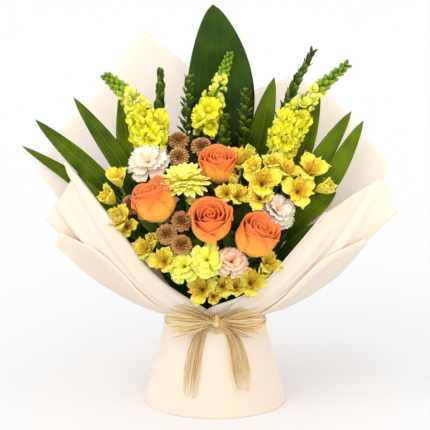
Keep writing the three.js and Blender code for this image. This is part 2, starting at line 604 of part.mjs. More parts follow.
const BAND_HEIGHT = 100;
const SKIRT_TAPER = (FOOT_RADIUS - WAIST_RADIUS) / WAIST_HEIGHT;
const BAND_RADIUS = FOOT_RADIUS - SKIRT_TAPER * BAND_HEIGHT + 2.3;
const KNOT = [1, -65, 111];

// Raffia bow: a knot, two fans of looped strands and two loose tails that lie on the skirt.
function raffiaBow() {
  const knot = vec(...KNOT);
  const parts = [moved(crown(8, 16, 8, 2, 1.5, 0.1), aimed(knot.clone().add(vec(0, 7.5, 0)), vec(0, -1, 0)))];
  const strand = (ends) => parts.push(stem(ends, 2.8, 3, 3));
  const FAN = 5;
  for (const side of [-1, 1]) {
    for (let i = 0; i < FAN; i++) {
      const share = i / (FAN - 1);
      const reach = 50 + 8 * Math.sin(Math.PI * share) * (side < 0 ? 1 : 0.9);
      const tip = vec(side * reach, KNOT[1] + lerp(-6, 2, share), KNOT[2] + lerp(20, -16, share));
      const mid = knot.clone().lerp(tip, 0.5).add(vec(0, -5, lerp(2.5, -1, share)));
      strand([knot, mid, tip]);
    }
  }
  const TAIL = 4;
  for (const [side, spread, lowest] of [[-1, 10, 22], [1, 16, 24]]) {
    for (let i = 0; i < TAIL; i++) {
      const share = i / (TAIL - 1) - 0.5;
      const foot = lowest + 10 * Math.abs(share);
      const lie = (z) => -(lerp(FOOT_RADIUS, WAIST_RADIUS, z / WAIST_HEIGHT) + 2.6);
      const x = side * 30 + spread * share * 1.4;
      const yAt = (px, z) => -Math.sqrt(lie(z) ** 2 - px * px);
      strand([knot, vec(side * 15 + spread * share * 0.8, yAt(side * 15, 82) - 1, 82),
        vec(x * 0.9, yAt(x * 0.9, 52), 52), vec(x, yAt(x, foot), foot)]);
    }
  }
  return fuse(parts);
}

// ---------------------------------------------------------------- stems
// The bundle below the binding: ridged by the stems in it, turned as hand-tied stems are, and cut level.
function bundle() {
  const RIDGES = 12;
  // [height, radius, turn]
  const LEVELS = [[0, 34, -0.5], [TIE_HEIGHT, BUNDLE_RADIUS, 0], [BUNDLE_TOP, 30, 0.35]];
  const points = [];
  const faces = [];
  const around = RIDGES * 2;
  LEVELS.forEach(([z, radius, turn]) => {
    for (let i = 0; i < around; i++) {
      const r = radius * (i % 2 ? 0.9 : 1);
      const angle = turn + (2 * Math.PI * i) / around;
      points.push(r * Math.cos(angle), r * Math.sin(angle), z);
    }
  });
  const at = (level, i) => level * around + (i % around);
  const [low, high] = [LEVELS.length * around, LEVELS.length * around + 1];
  points.push(0, 0, 0, 0, 0, BUNDLE_TOP);
  for (let i = 0; i < around; i++) {
    for (let level = 0; level + 1 < LEVELS.length; level++) {
      faces.push(at(level, i), at(level, i + 1), at(level + 1, i + 1));
      faces.push(at(level, i), at(level + 1, i + 1), at(level + 1, i));
    }
    faces.push(low, at(0, i + 1), at(0, i));
    faces.push(high, at(LEVELS.length - 1, i), at(LEVELS.length - 1, i + 1));
  }
  const geometry = new THREE.BufferGeometry();
  geometry.setAttribute("position", new THREE.Float32BufferAttribute(points, 3));
  geometry.setIndex(faces);
  return solidOf(geometry);
}

// Where a stem that serves `head` leaves the bundle: on the head's own side of it.
function rootFor(head, height = SEAT) {
  const flat = vec(head.x, head.y, 0);
  const reach = Math.min(22, flat.length() * 0.22);
  return flat.normalize().multiplyScalar(reach).setZ(BUNDLE_TOP + height);
}

function stemTo(foot, facing, width = STEM_WIDTH, steps = 2) {
  const root = rootFor(foot, -6);
  const far = root.distanceTo(foot);
  const bend = foot.clone().addScaledVector(facing, -far * 0.3).lerp(root, 0.25);
  return stem([root, bend, foot], width, steps);
}

// ---------------------------------------------------------------- putting it together
const solids = new Map();
const heads = []; // stems that join the bundle: [foot, facing, head's green cup]

function setHead(name, make, { at, face, roll = 0 }, height, cup) {
  const facing = vec(...face).normalize();
  const foot = vec(...at).addScaledVector(facing, -height / 2);
  solids.set(name, moved(make(), aimed(foot, facing, roll)));
  heads.push({ foot, facing, cup });
}

const paper = new Map(Object.entries(SHEETS).map(([name, cut]) => [name, paperSheet(cut)]));
solids.set("skirt", skirt());
for (const name of [...paper.keys()].reverse()) solids.set(name, paper.get(name));
solids.set("raffia_band", strandRing(BAND_RADIUS, BAND_HEIGHT, 3.2, 10, 24, SKIRT_TAPER));
solids.set("raffia_bow", raffiaBow());
solids.set("binding_twine", strandRing(TIE_RADIUS + LAYER_STEP * 5 + 3.2, TIE_HEIGHT + 3, 2.4, 5, 16));
solids.set("stems", null); // made once the heads are known, but cut before them

for (const [name, place] of Object.entries(ROSES)) {
  setHead(name, () => roseHead(place.width), place, place.width * 0.8, [3.2, 8, 7]);
}
for (const [name, place] of Object.entries(CARNATIONS)) {
  setHead(name, () => carnationHead(place.width), place, place.width * 0.55, [3, 5.5, 12]);
}
for (const [name, place] of Object.entries(DAISIES)) {
  setHead(name, () => daisyHead(DAISY_WIDTH), place, DAISY_WIDTH * 0.3, [3, 7, 5]);
}
for (const [name, { line, open, size }] of Object.entries(SPIKES)) {
  const points = line.map((p) => vec(...p));
  const root = rootFor(points[0]);
  const low = points[0].clone().lerp(root, 0.5).add(vec(0, 16, 0));
  const stalk = stem([root, low, points[0].clone().lerp(points[1], 0.1)], STEM_WIDTH * 0.7, 3);
  solids.set(name, fuse([stalk, ...spike(points, open, size)]));
}
for (const [name, place] of Object.entries(BUTTONS)) {
  setHead(name, () => buttonHead(BUTTON_WIDTH), place, BUTTON_WIDTH * 0.5, [2, 3, 3]);
}
for (const [name, { hub, flowers }] of Object.entries(SPRAYS)) {
  const fork = vec(...hub);
  const parts = [stem([rootFor(fork), fork], STEM_WIDTH * 0.9, 1)];
  for (const { at, face, open, width, roll } of flowers) {
    const facing = vec(...face).normalize();
    const wide = LILY_WIDTH * width;
    const foot = vec(...at).addScaledVector(facing, -wide * 0.32);
    parts.push(moved(lilyHead(wide, open), aimed(foot, facing, roll)));
    parts.push(stem([fork, fork.clone().lerp(foot, 0.55).addScaledVector(facing, -7), foot.clone()
      .addScaledVector(facing, 3)], 3, 2, 3));
  }
  solids.set(name, fuse(parts));
}
for (const [name, cut] of Object.entries(LEAVES)) solids.set(name, leafBlade(cut));
for (const [name, cut] of Object.entries(TWIGS)) solids.set(name, twig(cut));

const green = [bundle()];
for (const { foot, facing, cup: [thin, wide, tall] } of heads) {
  const base = foot.clone().addScaledVector(facing, -tall - SEAT);
  const calyx = solidOf(new THREE.CylinderGeometry(wide, thin, tall, 5).rotateX(Math.PI / 2)
    .translate(0, 0, tall / 2));
  green.push(moved(calyx, aimed(base, facing)));
  green.push(stemTo(base.clone().addScaledVector(facing, 1.5), facing, wide > 4 ? STEM_WIDTH : 3));
}
solids.set("stems", fuse(green));

// Each solid in turn gives way to those before it, keeping a small gap, and sheds what comes off.
function swollen(solid) {
  const geometry = geometryOf(solid);
  const skin = mergeVertices(geometry, 1e-4);
  skin.computeVertexNormals();
  const { position, normal } = skin.attributes;
  for (let i = 0; i < position.count; i++) {
    const point = vec(0, 0, 0).fromBufferAttribute(position, i);
    const out = vec(0, 0, 0).fromBufferAttribute(normal, i);
    position.setXYZ(i, ...point.addScaledVector(out, GAP));
  }
  return solidOf(skin);
}

const near = (a, b) => {
  const [p, q] = [a.boundingBox(), b.boundingBox()];
  return [0, 1, 2].every((k) => p.min[k] < q.max[k] + 1 && q.min[k] < p.max[k] + 1);
};
const bigger = (a, b) => (b.volume() > a.volume() ? b : a);
const largest = (solid) => solid.decompose().reduce(bigger);
const closerThan = (gap, a, b) => near(a, b) && a.minGap(b, 1) < gap;

const placed = [];
for (const [name, solid] of solids) {
  let cut = solid;
  for (const other of placed) {
    if (closerThan(GAP / 2, cut, other.kept)) cut = cut.subtract(other.swollen).subtract(other.kept);
  }
  cut = largest(cut);
  const choices = [0.15, 0.08, 0.04].map((smooth) => largest(cut.asOriginal().simplify(smooth)));
  const kept = choices.find((choice) => !placed.some((other) => closerThan(0.05, choice, other.kept))) ?? cut;
  placed.push({ kept, swollen: swollen(kept) });
  solids.set(name, kept);
}

// ---------------------------------------------------------------- materials and meshes
const finish = (color, roughness) => new THREE.MeshStandardMaterial({ color, roughness, metalness: 0 });
const FINISHES = [
  [/^(skirt|wrap)/, finish(0xfbf0e0, 0.8)],
  [/^raffia/, finish(0xdcb984, 0.7)],
  [/^binding/, finish(0xc9b48c, 0.8)],
  [/^stems/, finish(0x5d7a36, 0.6)],
  [/^rose/, finish(0xf58d3d, 0.6)],
  [/^lime_carnation|^lemon/, finish(0xeee968, 0.6)],
  [/^carnation/, finish(0xf6dccb, 0.7)],
  [/^button/, finish(0xb98a52, 0.8)],
  [/^alstroemeria/, finish(0xf0cc30, 0.5)],
  [/^snapdragon/, finish(0xe9e52e, 0.6)],
  [/^leaf/, finish(0x2c5a1c, 0.35)],
  [/^twig/, finish(0x264a20, 0.5)],
];

const bouquet = new THREE.Group();
for (const [name, solid] of solids) {
  const mesh = new THREE.Mesh(geometryOf(solid), FINISHES.find(([kind]) => kind.test(name))[1]);
  mesh.name = name;
  bouquet.add(mesh);
}

// The origin is on the table, under the middle of the bouquet's outline.
const extent = new THREE.Box3().setFromObject(bouquet);
const middle = extent.getCenter(vec(0, 0, 0));
bouquet.position.set(-middle.x, -middle.y, -extent.min.z);

export default bouquet;
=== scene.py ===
import bmesh
import bpy
import random
from math import atan2, cos, exp, pi, radians, sin, sqrt
from mathutils import Matrix, Quaternion, Vector


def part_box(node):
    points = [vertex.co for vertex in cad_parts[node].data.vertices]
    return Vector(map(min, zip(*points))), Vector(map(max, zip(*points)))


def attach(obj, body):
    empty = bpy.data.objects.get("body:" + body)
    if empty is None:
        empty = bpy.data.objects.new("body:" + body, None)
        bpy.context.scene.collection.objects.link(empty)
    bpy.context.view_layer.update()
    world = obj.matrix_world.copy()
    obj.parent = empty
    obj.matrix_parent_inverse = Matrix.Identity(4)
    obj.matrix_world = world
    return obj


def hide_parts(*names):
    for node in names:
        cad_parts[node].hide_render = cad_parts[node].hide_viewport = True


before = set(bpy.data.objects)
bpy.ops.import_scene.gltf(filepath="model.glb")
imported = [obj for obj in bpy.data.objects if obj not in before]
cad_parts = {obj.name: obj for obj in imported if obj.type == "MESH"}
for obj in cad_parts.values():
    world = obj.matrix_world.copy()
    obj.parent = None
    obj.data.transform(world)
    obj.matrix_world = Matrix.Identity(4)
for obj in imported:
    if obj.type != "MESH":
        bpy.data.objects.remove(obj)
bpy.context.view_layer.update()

# ---------------- camera, studio light and table
# The bouquet stands on a white table that runs on into a white room. A long lens looks a little down on its
# face, under a wide soft lamp at the upper left, with weaker ones at the right and low in front.
low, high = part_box("skirt")
AXIS = Vector(((low.x + high.x) / 2, (low.y + high.y) / 2, 0))


def at(x, y, z):
    """A point in millimetres from the skirt's axis at table height."""
    return AXIS + Vector((x, y, z)) / 1000


def colour(red, green, blue):
    """A screen colour from 0 to 255 as the linear colour that a shader takes."""
    return tuple((c / 255 / 12.92 if c < 10 else ((c / 255 + 0.055) / 1.055) ** 2.4) for c in (red, green, blue)) + (1,)


def placed(thing):
    """The thing, linked to the scene."""
    bpy.context.scene.collection.objects.link(thing)
    return thing


camera = placed(bpy.data.objects.new("camera", bpy.data.cameras.new("camera")))
camera.location = at(0, -2200, 671.54)
camera.rotation_euler = (radians(90 - 11.4284), 0, 0)
camera.data.sensor_width = 36
camera.data.lens = 157.35
camera.data.shift_x = -0.0007
bpy.context.scene.camera = camera
bpy.context.scene.view_settings.view_transform = "Standard"


def lamp(name, place, soft, power):
    """A far, even lamp that shines on the bouquet from place, as wide as `soft` degrees."""
    made = placed(bpy.data.objects.new(name, bpy.data.lights.new(name, "SUN")))
    made.data.angle = radians(soft)
    made.data.energy = power
    made.location = at(*place)
    made.rotation_euler = (at(0, 0, 230) - made.location).to_track_quat("-Z", "Y").to_euler()


lamp("key_lamp", (-1100, -1300, 2000), 60, 0.92)
lamp("fill_lamp", (1500, -1500, 1300), 90, 0.6)
lamp("front_lamp", (-300, -2200, 450), 80, 0.88)

room = bpy.data.worlds.new("room")
room.use_nodes = True
room.node_tree.nodes["Background"].inputs["Color"].default_value = (1, 1, 1, 1)
bpy.context.scene.world = room


def finish(name, roughness=0.5, **settings):
    """A new material, its node tree and its shader."""
    made = bpy.data.materials.new(name)
    made.use_nodes = True
    shader = made.node_tree.nodes["Principled BSDF"]
    shader.inputs["Roughness"].default_value = roughness
    for key, value in settings.items():
        shader.inputs[key.replace("_", " ")].default_value = value
    return made, made.node_tree, shader


table_finish = finish("white_table", 0.9, Specular_IOR_Level=0.1, Base_Color=(0.73, 0.732, 0.737, 1))[0]
bm = bmesh.new()
bmesh.ops.create_grid(bm, x_segments=4, y_segments=4, size=14)
table_mesh = bpy.data.meshes.new("table")
bm.to_mesh(table_mesh)
bm.free()
table_mesh.materials.append(table_finish)
table = placed(bpy.data.objects.new("table", table_mesh))
table.location.z = -0.0002

# ---------------- the wrapping paper
# Five squares of stiff cream paper are bound to the stems inside the skirt, pleated where they pass its top,
# and open into broad soft folds round the flowers. Each overlaps the next, with its corners showing.
TIE = (27, 62)  # radius and height of the innermost sheet at the binding
NECK = (50.3, 109)  # and where it passes the skirt's top
LAYER = 1.5  # how far each sheet lies outside the one before


def new_mesh():
    """An empty mesh whose corners carry `petal`: the share along, the share across and the tone of their blade."""
    made = bmesh.new()
    made.verts.layers.float_vector.new("petal")
    return made


def smooth(corners, kind=0):
    """Smooth shading and one of the piece's finishes for the faces at these corners."""
    for face in {face for corner in corners for face in corner.link_faces}:
        face.smooth = True
        face.material_index = kind


def blade(bm, surface, along, across, tone=0.5, kind=0):
    """A sheet whose corners go to surface(u, v), with u from 0 at its foot to 1, and v from -1 to 1 across it."""
    layer = bm.verts.layers.float_vector["petal"]
    made = bmesh.ops.create_grid(bm, x_segments=along, y_segments=across, size=1)["verts"]
    for corner in made:
        u, v = (corner.co.x + 1) / 2, corner.co.y
        corner[layer] = (u, v, tone)
        corner.co = surface(u, v)
    smooth(made, kind)
    return made


def piece(bm, name, finishes, nodes, thickness=0.0, rounds=0):
    """The mesh as a finished piece that stands for CAD nodes, with its wall's thickness in millimetres."""
    mesh = bpy.data.meshes.new(name)
    bm.to_mesh(mesh)
    bm.free()
    for each in finishes:
        mesh.materials.append(each)
    made = placed(bpy.data.objects.new(name, mesh))
    if rounds:
        smoother = made.modifiers.new("smoother", "SUBSURF")
        smoother.levels = smoother.render_levels = rounds
    if thickness:
        wall = made.modifiers.new("wall", "SOLIDIFY")
        wall.thickness = thickness / 1000
        wall.offset = 0
    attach(made, "root")
    if nodes:
        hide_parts(*nodes)
    return made


def along_line(points, t):
    """The point at share t of a smooth line through points."""
    step = max(0.0, min(1.0, t)) * (len(points) - 1)
    i = min(int(step), len(points) - 2)
    w = step - i
    b, c = points[i], points[i + 1]
    a = points[i - 1] if i else 2 * b - c
    d = points[i + 2] if i + 2 < len(points) else 2 * c - b
    ab, bc, cd = (max((q - p).length, 1e-6) ** 0.5 for p, q in ((a, b), (b, c), (c, d)))
    go = ((b - a) / ab - (c - a) / (ab + bc) + (c - b) / bc) * bc
    come = ((c - b) / bc - (d - b) / (bc + cd) + (d - c) / cd) * bc
    return b + go * w + (3 * (c - b) - 2 * go - come) * w * w + (2 * (b - c) + go + come) * w**3


def heading(points, t, reach=0.02):
    """The direction of that line near share t."""
    return (along_line(points, t + reach) - along_line(points, t - reach)).normalized()


def ring(radius, height, turn):
    """A point round the axis, with turn 0 in front and growing to the right."""
    return Vector((radius * sin(turn), -radius * cos(turn), height))


def node(tree, kind, ins=(), **given):
    """A shader node: `ins` fills its sockets in order, capital names fill sockets, the others are settings."""
    made = tree.nodes.new("ShaderNode" + kind)
    for key, value in given.items():
        if key[0].islower():
            setattr(made, key, value)
    filled = list(zip(made.inputs, ins))
    filled += [(made.inputs[key.replace("_", " ")], value) for key, value in given.items() if key[0].isupper()]
    for socket, value in filled:
        if isinstance(value, bpy.types.NodeSocket):
            tree.links.new(value, socket)
        elif value is not None:
            socket.default_value = value
    return made


def maths(tree, operation, *ins):
    """The result of one sum in a shader."""
    return node(tree, "Math", ins, operation=operation).outputs[0]


def ramp(tree, value, *stops):
    """A smooth scale of grey or colour over value."""
    made = node(tree, "ValToRGB", [value])
    points = made.color_ramp.elements
    while len(points) < len(stops):
        points.new(0.5)
    for point, (place, shade) in zip(points, stops):
        point.position = place
        point.color = shade if isinstance(shade, tuple) else (shade, shade, shade, 1)
    return made.outputs["Color"]


def shader_group(name, ins, outs):
    """A node group with its inputs and outputs, which are "Color" or "Float"."""
    tree = bpy.data.node_groups.new(name, "ShaderNodeTree")
    for way, sockets in (("INPUT", ins), ("OUTPUT", outs)):
        for socket, kind in sockets.items():
            tree.interface.new_socket(socket, in_out=way, socket_type="NodeSocket" + kind)
    return tree, tree.nodes.new("NodeGroupInput").outputs, tree.nodes.new("NodeGroupOutput").inputs


def noise(tree, scale, detail, **given):
    """A cloudy grey pattern over the piece's own coordinates."""
    place = node(tree, "TexCoord").outputs["Object"]
    return node(tree, "TexNoise", Vector=place, Scale=scale, Detail=detail, **given).outputs["Fac"]


def dress(tree, shader, base, height, distance, strength):
    """Gives a shader its colour, and a relief as deep as distance in metres."""
    tree.links.new(base, shader.inputs["Base Color"])
    relief = node(tree, "Bump", Height=height, Distance=distance, Strength=strength)
    tree.links.new(relief.outputs["Normal"], shader.inputs["Normal"])


# the clouding, fibres and fine crumple of stiff paper
paper_fibre, take, put = shader_group("paper_fibre", {}, {"Mask": "Float", "Height": "Float"})
fibre = noise(paper_fibre, 420, 3, Roughness=0.6)
crumple = noise(paper_fibre, 26, 4, Roughness=0.45, Distortion=0.8)
paper_fibre.links.new(noise(paper_fibre, 9, 3, Roughness=0.5), put["Mask"])
paper_fibre.links.new(maths(paper_fibre, "MULTIPLY_ADD", fibre, 0.06, crumple), put["Height"])


def paper(name, light, shade, roughness, depth=0.003):
    """Matte paper in two screen colours, which light enters as deep as `depth` metres."""
    light, shade = colour(*light), colour(*shade)
    made, tree, shader = finish(name, roughness, Specular_IOR_Level=0.2, Specular_Tint=shade,
                                Subsurface_Weight=0.8, Subsurface_Scale=depth)
    shader.inputs["Subsurface Radius"].default_value = (1.0, 0.95, 0.9)
    fibre = node(tree, "Group", node_tree=paper_fibre).outputs
    dress(tree, shader, ramp(tree, fibre["Mask"], (0.35, light), (0.68, shade)), fibre["Height"], 0.0012, 0.35)
    return made


wrap_paper = paper("cream_wrapping_paper", (250, 225, 203), (247, 217, 190), 0.6)
sheer_paper = paper("cream_sheer_paper", (252, 219, 191), (249, 211, 179), 0.6, 0.009)

# [which layer of the wrap, creases, side edges that turn over, columns]. A crease is [place across the sheet from
# -1 to 1, height], and a column is [turn round the neck, three points on its way out to the edge].
SHEETS = {
    "wrap_back_left": (0, [(-0.62, 2.2), (-0.2, -2.0), (0.2, 2.4), (0.58, -1.6)], (), [
        (-78, (-84, 0, 130), (-146, 8, 192), (-216, 20, 280)),
        (-104, (-66, 20, 142), (-124, 36, 222), (-188, 42, 323)),
        (-128, (-50, 38, 152), (-92, 56, 250), (-135, 60, 378)),
        (-150, (-30, 50, 158), (-56, 68, 280), (-87, 74, 441)),
        (-174, (-8, 55, 156), (-22, 74, 265), (-34, 80, 396)),
        (-200, (18, 53, 150), (22, 76, 240), (45, 82, 366))]),
    "wrap_back_right": (1, [(-0.5, 1.6), (-0.1, -2.2), (0.3, 2.4), (0.62, -2.2)], (), [
        (190, (-6, 60, 152), (0, 82, 240), (5, 92, 350)),
        (168, (12, 60, 154), (26, 83, 250), (46, 91, 364)),
        (145, (34, 53, 155), (62, 77, 262), (100, 82, 386)),
        (122, (56, 36, 148), (98, 60, 240), (140, 56, 362)),
        (100, (72, 16, 138), (130, 32, 210), (184, 34, 317)),
        (78, (84, -2, 130), (150, 2, 188), (210, 10, 286))]),
    "wrap_front_left": (2, [(-0.42, -2.0), (-0.02, 2.6), (0.32, -2.4), (0.66, 2.0)], (-1,), [
        (14, (-66, -82, 168), (-131, -60, 245), (-179, -20, 296)),
        (-24, (-76, -76, 150), (-136, -60, 222), (-170, -30, 274)),
        (-50, (-82, -60, 136), (-146, -48, 197), (-185, -25, 249)),
        (-76, (-84, -34, 127), (-149, -24, 174), (-203, -8, 225)),
        (-104, (-76, 2, 123), (-130, 4, 157), (-182, 6, 208))]),
    "wrap_front_right": (3, [(-0.55, -1.8), (-0.22, 2.4), (0.12, -2.6), (0.42, 2.6), (0.72, -2.0)], (-1,), [
        (-20, (50, -84, 161), (92, -68, 203), (128, -42, 237)),
        (20, (64, -78, 147), (116, -61, 195), (165, -26, 258)),
        (48, (76, -64, 135), (138, -50, 190), (198, -8, 273)),
        (76, (84, -36, 126), (151, -34, 178), (217, -12, 233)),
        (104, (76, 2, 121), (132, 2, 157), (180, 2, 208))]),
    "wrap_outer": (4, [(-0.8, 2.0), (-0.45, -2.0), (0, 2.2), (0.45, -2.0), (0.8, 2.0)], (-1, 1), [
        (-44, (-80, -72, 140), (-132, -61, 190), (-184, -29, 211)),
        (-72, (-90, -30, 123), (-143, -22, 154), (-190, -6, 191)),
        (-102, (-80, 12, 116), (-130, 16, 144), (-184, 22, 190)),
        (-140, (-58, 58, 126), (-92, 76, 176), (-134, 84, 236)),
        (-180, (0, 72, 140), (0, 92, 206), (0, 104, 286)),
        (-220, (58, 58, 126), (92, 76, 176), (134, 84, 236)),
        (-258, (80, 12, 116), (130, 16, 144), (180, 22, 190)),
        (-288, (89, -30, 123), (144, -22, 156), (183, -6, 194)),
        (-316, (78, -73, 140), (126, -62, 184), (176, -35, 205))]),
}
TIE_SHARE = 1 / 7  # of a sheet lies between the binding and the neck
EASE = 8  # 1 / EASE of the way out from the neck, it has left the neck's round


def paper_sheet(layer, columns):
    """The plain sweep of a sheet: a cone from the binding to the neck, then out along its columns."""
    lines = [[ring(NECK[0] + LAYER * layer, NECK[1], radians(turn))] + [Vector(p) for p in outer]
             for turn, *outer in columns]
    rows = {}

    def turn_at(v):
        return radians(along_line([Vector((turn, 0, 0)) for turn, *outer in columns], (v + 1) / 2).x)

    def surface(u, v):
        turn = turn_at(v)
        neck = ring(NECK[0] + LAYER * layer, NECK[1], turn)
        if u <= TIE_SHARE:
            return at(*ring(TIE[0] + LAYER * layer, TIE[1], turn).lerp(neck, u / TIE_SHARE))
        out = (u - TIE_SHARE) / (1 - TIE_SHARE)
        key = round(out, 6)
        if key not in rows:
            rows[key] = [along_line(line, out) for line in lines]
        row, step = rows[key], (v + 1) / 2 * (len(lines) - 1)
        low = min(int(step), len(lines) - 2)
        straight = row[low].lerp(row[low + 1], step - low)
        return at(*along_line(row, (v + 1) / 2).lerp(straight, out * out).lerp(neck, max(0, 1 - out * EASE)))

    return surface, turn_at


ROWS, STEPS = 63, 20  # faces up a sheet, and across it from column to column
SOFT, PLEATS, WAVES = 0.9, 17, 5.1  # depth of the soft folds, and how fast they follow each other round the neck
PLEATED = 0.16  # share of the way out where the pleats are deepest
HEM = 0.07  # share of a sheet's half width that turns over
for name, (layer, creases, rolled, columns) in SHEETS.items():
    bm = new_mesh()
    surface, turn_at = paper_sheet(layer, columns)
    corners = blade(bm, surface, ROWS, (len(columns) - 1) * STEPS)
    shares = bm.verts.layers.float_vector["petal"]
    bm.normal_update()
    shifts = []
    for corner in corners:
        u, v, tone = corner[shares]
        out = max(0.0, (u - TIE_SHARE) / (1 - TIE_SHARE))
        turn = turn_at(v)
        lift = SOFT * sin(PLEATS * turn + 1) * exp(-(((out - PLEATED) / PLEATED) ** 2))
        lift += SOFT * sin(WAVES * turn + 0.6 + layer) * out**1.3
        for place, height in creases:
            away = abs(v - place - 0.1 * (out - 0.5) * height) / (0.05 + 0.16 * out)
            lift += height * max(0.0, 1 - away) ** 1.3 * min(1, out * 1.6)
        for side in rolled:
            hem = max(0.0, (v * side - (1 - HEM)) / HEM)
            lift += (-5.0 if name.startswith("wrap_front") else -2.0) * hem**2 * min(1, out * 2.5)
        shifts.append((corner, corner.normal * (lift / 1000)))
    for corner, shift in shifts:
        corner.co += shift
    if name == "wrap_front_right":  # its lower edge rolls outwards over the knot
        hem = [Vector(p) for p in ((-14, -60, 124), (0, -69, 134), (20, -77, 143), (44, -86, 156))]

        def lip(u, v):
            low = ring(54, 112, radians(7 + 33 * v))
            rolled_out = Vector((0, -1.6, -0.8)) * max(0.0, u - 0.75) * 4
            spot = low.lerp(along_line(hem, (v + 1) / 2), u) + rolled_out
            return at(*(spot + Vector((0, -1.5, 0)) * sin(pi * u) * sin(4 * v + 1)))

        blade(bm, lip, 12, 24)
    piece(bm, name + "_paper", [sheer_paper if "back" in name else wrap_paper], [name], 0.7)

# ---------------- the skirt
# One stiffer piece of the same paper is rolled into a cone over the bound stems, lapped and glued down its
# back. It hides them and carries the bouquet on its foot.
FOOT_RADIUS, WAIST_RADIUS, WAIST_HEIGHT = 86, 57.5, 106
LAP_TURN, LAP_WIDTH = 2.9, 0.24  # the lap's place and width, in radians from the front
skirt_paper = paper("cream_skirt_paper", (242, 222, 202), (238, 214, 191), 0.55)

bm = new_mesh()
levels = (0, 0.004, 0.09, 0.18, 0.27, 0.36, 0.45, 0.54, 0.63, 0.72, 0.81, 0.9, 0.996, 1)
wall = [bm.verts.new(at(0, -(FOOT_RADIUS + (WAIST_RADIUS - FOOT_RADIUS) * up), WAIST_HEIGHT * up)) for up in levels]
profile = [bm.edges.new(pair) for pair in zip(wall, wall[1:])]
bmesh.ops.spin(bm, geom=wall + profile, cent=AXIS, axis=(0, 0, 1), angle=2 * pi, steps=144, use_merge=True)
for corner in bm.verts:
    out = corner.co - AXIS
    turn = atan2(out.x, -out.y)
    rise = out.z * 1000 / WAIST_HEIGHT
    lap = 0.8 * max(0.0, 1 - abs(turn - LAP_TURN) / LAP_WIDTH)
    soft = 0.35 * sin(3 * turn + 1) * sin(pi * rise) + 0.25 * sin(11 * turn) * rise**4
    flat = Vector((out.x, out.y, 0)).normalized()
    corner.co += flat * (min(lap, 0.5) + soft - 0.3) / 1000
bmesh.ops.recalc_face_normals(bm, faces=bm.faces)
smooth(bm.verts)
piece(bm, "skirt_paper", [skirt_paper], ["skirt"], 0.8)

# ---------------- green stems
# About thirty fresh stems are tied in a spiral bundle and cut level. One goes up to each bloom, where a green
# calyx holds the petals.
# [middle of the bloom, direction it faces]
HEADS = {
    "rose_left": ((-68, -70, 253), (-0.38, -0.2, 0.9)),
    "rose_top": ((3, -46, 291), (0.04, -0.36, 0.93)),
    "rose_middle": ((-5, -88, 234), (-0.04, -0.64, 0.77)),
    "rose_right": ((45, -86, 216), (0.42, -0.4, 0.82)),
    "carnation_left": ((-80, -42, 302), (-0.28, -0.62, 0.73)),
    "carnation_right": ((73, -62, 247), (0.42, -0.6, 0.68)),
    "carnation_low": ((19, -94, 192), (0.12, -0.82, 0.56)),
    "lime_carnation_left": ((-37, -93, 187), (-0.28, -0.8, 0.53)),
    "lime_carnation_right": ((-9, -97, 196), (0.1, -0.8, 0.59)),
    "lemon_chrysanthemum": ((-36, -60, 283), (-0.06, -0.32, 0.94)),
    "button_1": ((-44, -13, 321), (-0.15, -0.5, 0.85)),
    "button_2": ((-43, -38, 305), (-0.15, -0.75, 0.65)),
    "button_3": ((-16, -20, 315), (0.12, -0.55, 0.83)),
    "button_4": ((-100, -47, 250), (-0.5, -0.6, 0.62)),
    "button_5": ((-39, -76, 236), (0.1, -0.8, 0.59)),
    "button_6": ((-57, -82, 222), (-0.2, -0.78, 0.6)),
    "button_7": ((-39, -90, 211), (0, -0.8, 0.6)),
    "button_8": ((27, -72, 174), (0.15, -0.85, 0.5)),
}
# [distance below the bloom's middle, radius, height]
CALYX = {"rose": (21.6, 8, 7), "carnation": (12.6, 5.5, 12), "lime": (9, 4.5, 9), "lemon": (9.3, 7, 5),
         "button": (6.2, 3, 3)}
GOLDEN = radians(137.5)
UP = Vector((0, 0, 1))
BUNDLE_RADIUS, FORK_ROOT = 22, 118  # radius of the bundle's top, and the height where side stems leave it
WELD = 1e-6  # metres within which the two edges of a closed sweep are one


def aimed(point, facing, roll=0.0):
    """Takes millimetres with +Z along facing, turned by roll, to the scene's metres round point."""
    turn = UP.rotation_difference(Vector(facing)) @ Quaternion(UP, roll)
    return Matrix.Translation(at(*point)) @ turn.to_matrix().to_4x4() @ Matrix.Scale(0.001, 4)


def on_head(name, down, roll=0.0):
    """The frame of a bloom's middle, moved `down` millimetres along its stem and turned by roll."""
    middle, face = HEADS[name]
    facing = Vector(face).normalized()
    return aimed(Vector(middle) - facing * down, facing, roll)


def spoke(out, turn, rise, side=0.0):
    """A point that far out from an upright axis, in the direction turn, and to the side of that direction."""
    return Vector((out * cos(turn) - side * sin(turn), out * sin(turn) + side * cos(turn), rise))


def leaves_bundle(point, height):
    """Where a stem on its way to point comes out of the bundle's top."""
    flat = Vector((point.x, point.y, 0))
    return flat.normalized() * min(BUNDLE_RADIUS, flat.length * 0.22) + UP * height


def tube(bm, points, radius, steps, sides=8, tone=0.5, kind=0, taper=1.0):
    """A round stalk through points in millimetres from the axis."""
    spine = [along_line(points, i / steps) for i in range(steps + 1)]
    ways = [(spine[min(i + 1, steps)] - spine[max(i - 1, 0)]).normalized() for i in range(steps + 1)]

    def surface(u, v):
        i = round(u * steps)
        side = ways[i].orthogonal().normalized() if abs(ways[i].z) < 0.2 else ways[i].cross((0, 1, 0.01)).normalized()
        other = ways[i].cross(side)
        wide = radius * (1 + (taper - 1) * u)
        return at(*(spine[i] + side * (wide * cos(pi * v)) + other * (wide * sin(pi * v))))

    bmesh.ops.remove_doubles(bm, verts=blade(bm, surface, steps, sides, tone, kind), dist=WELD)


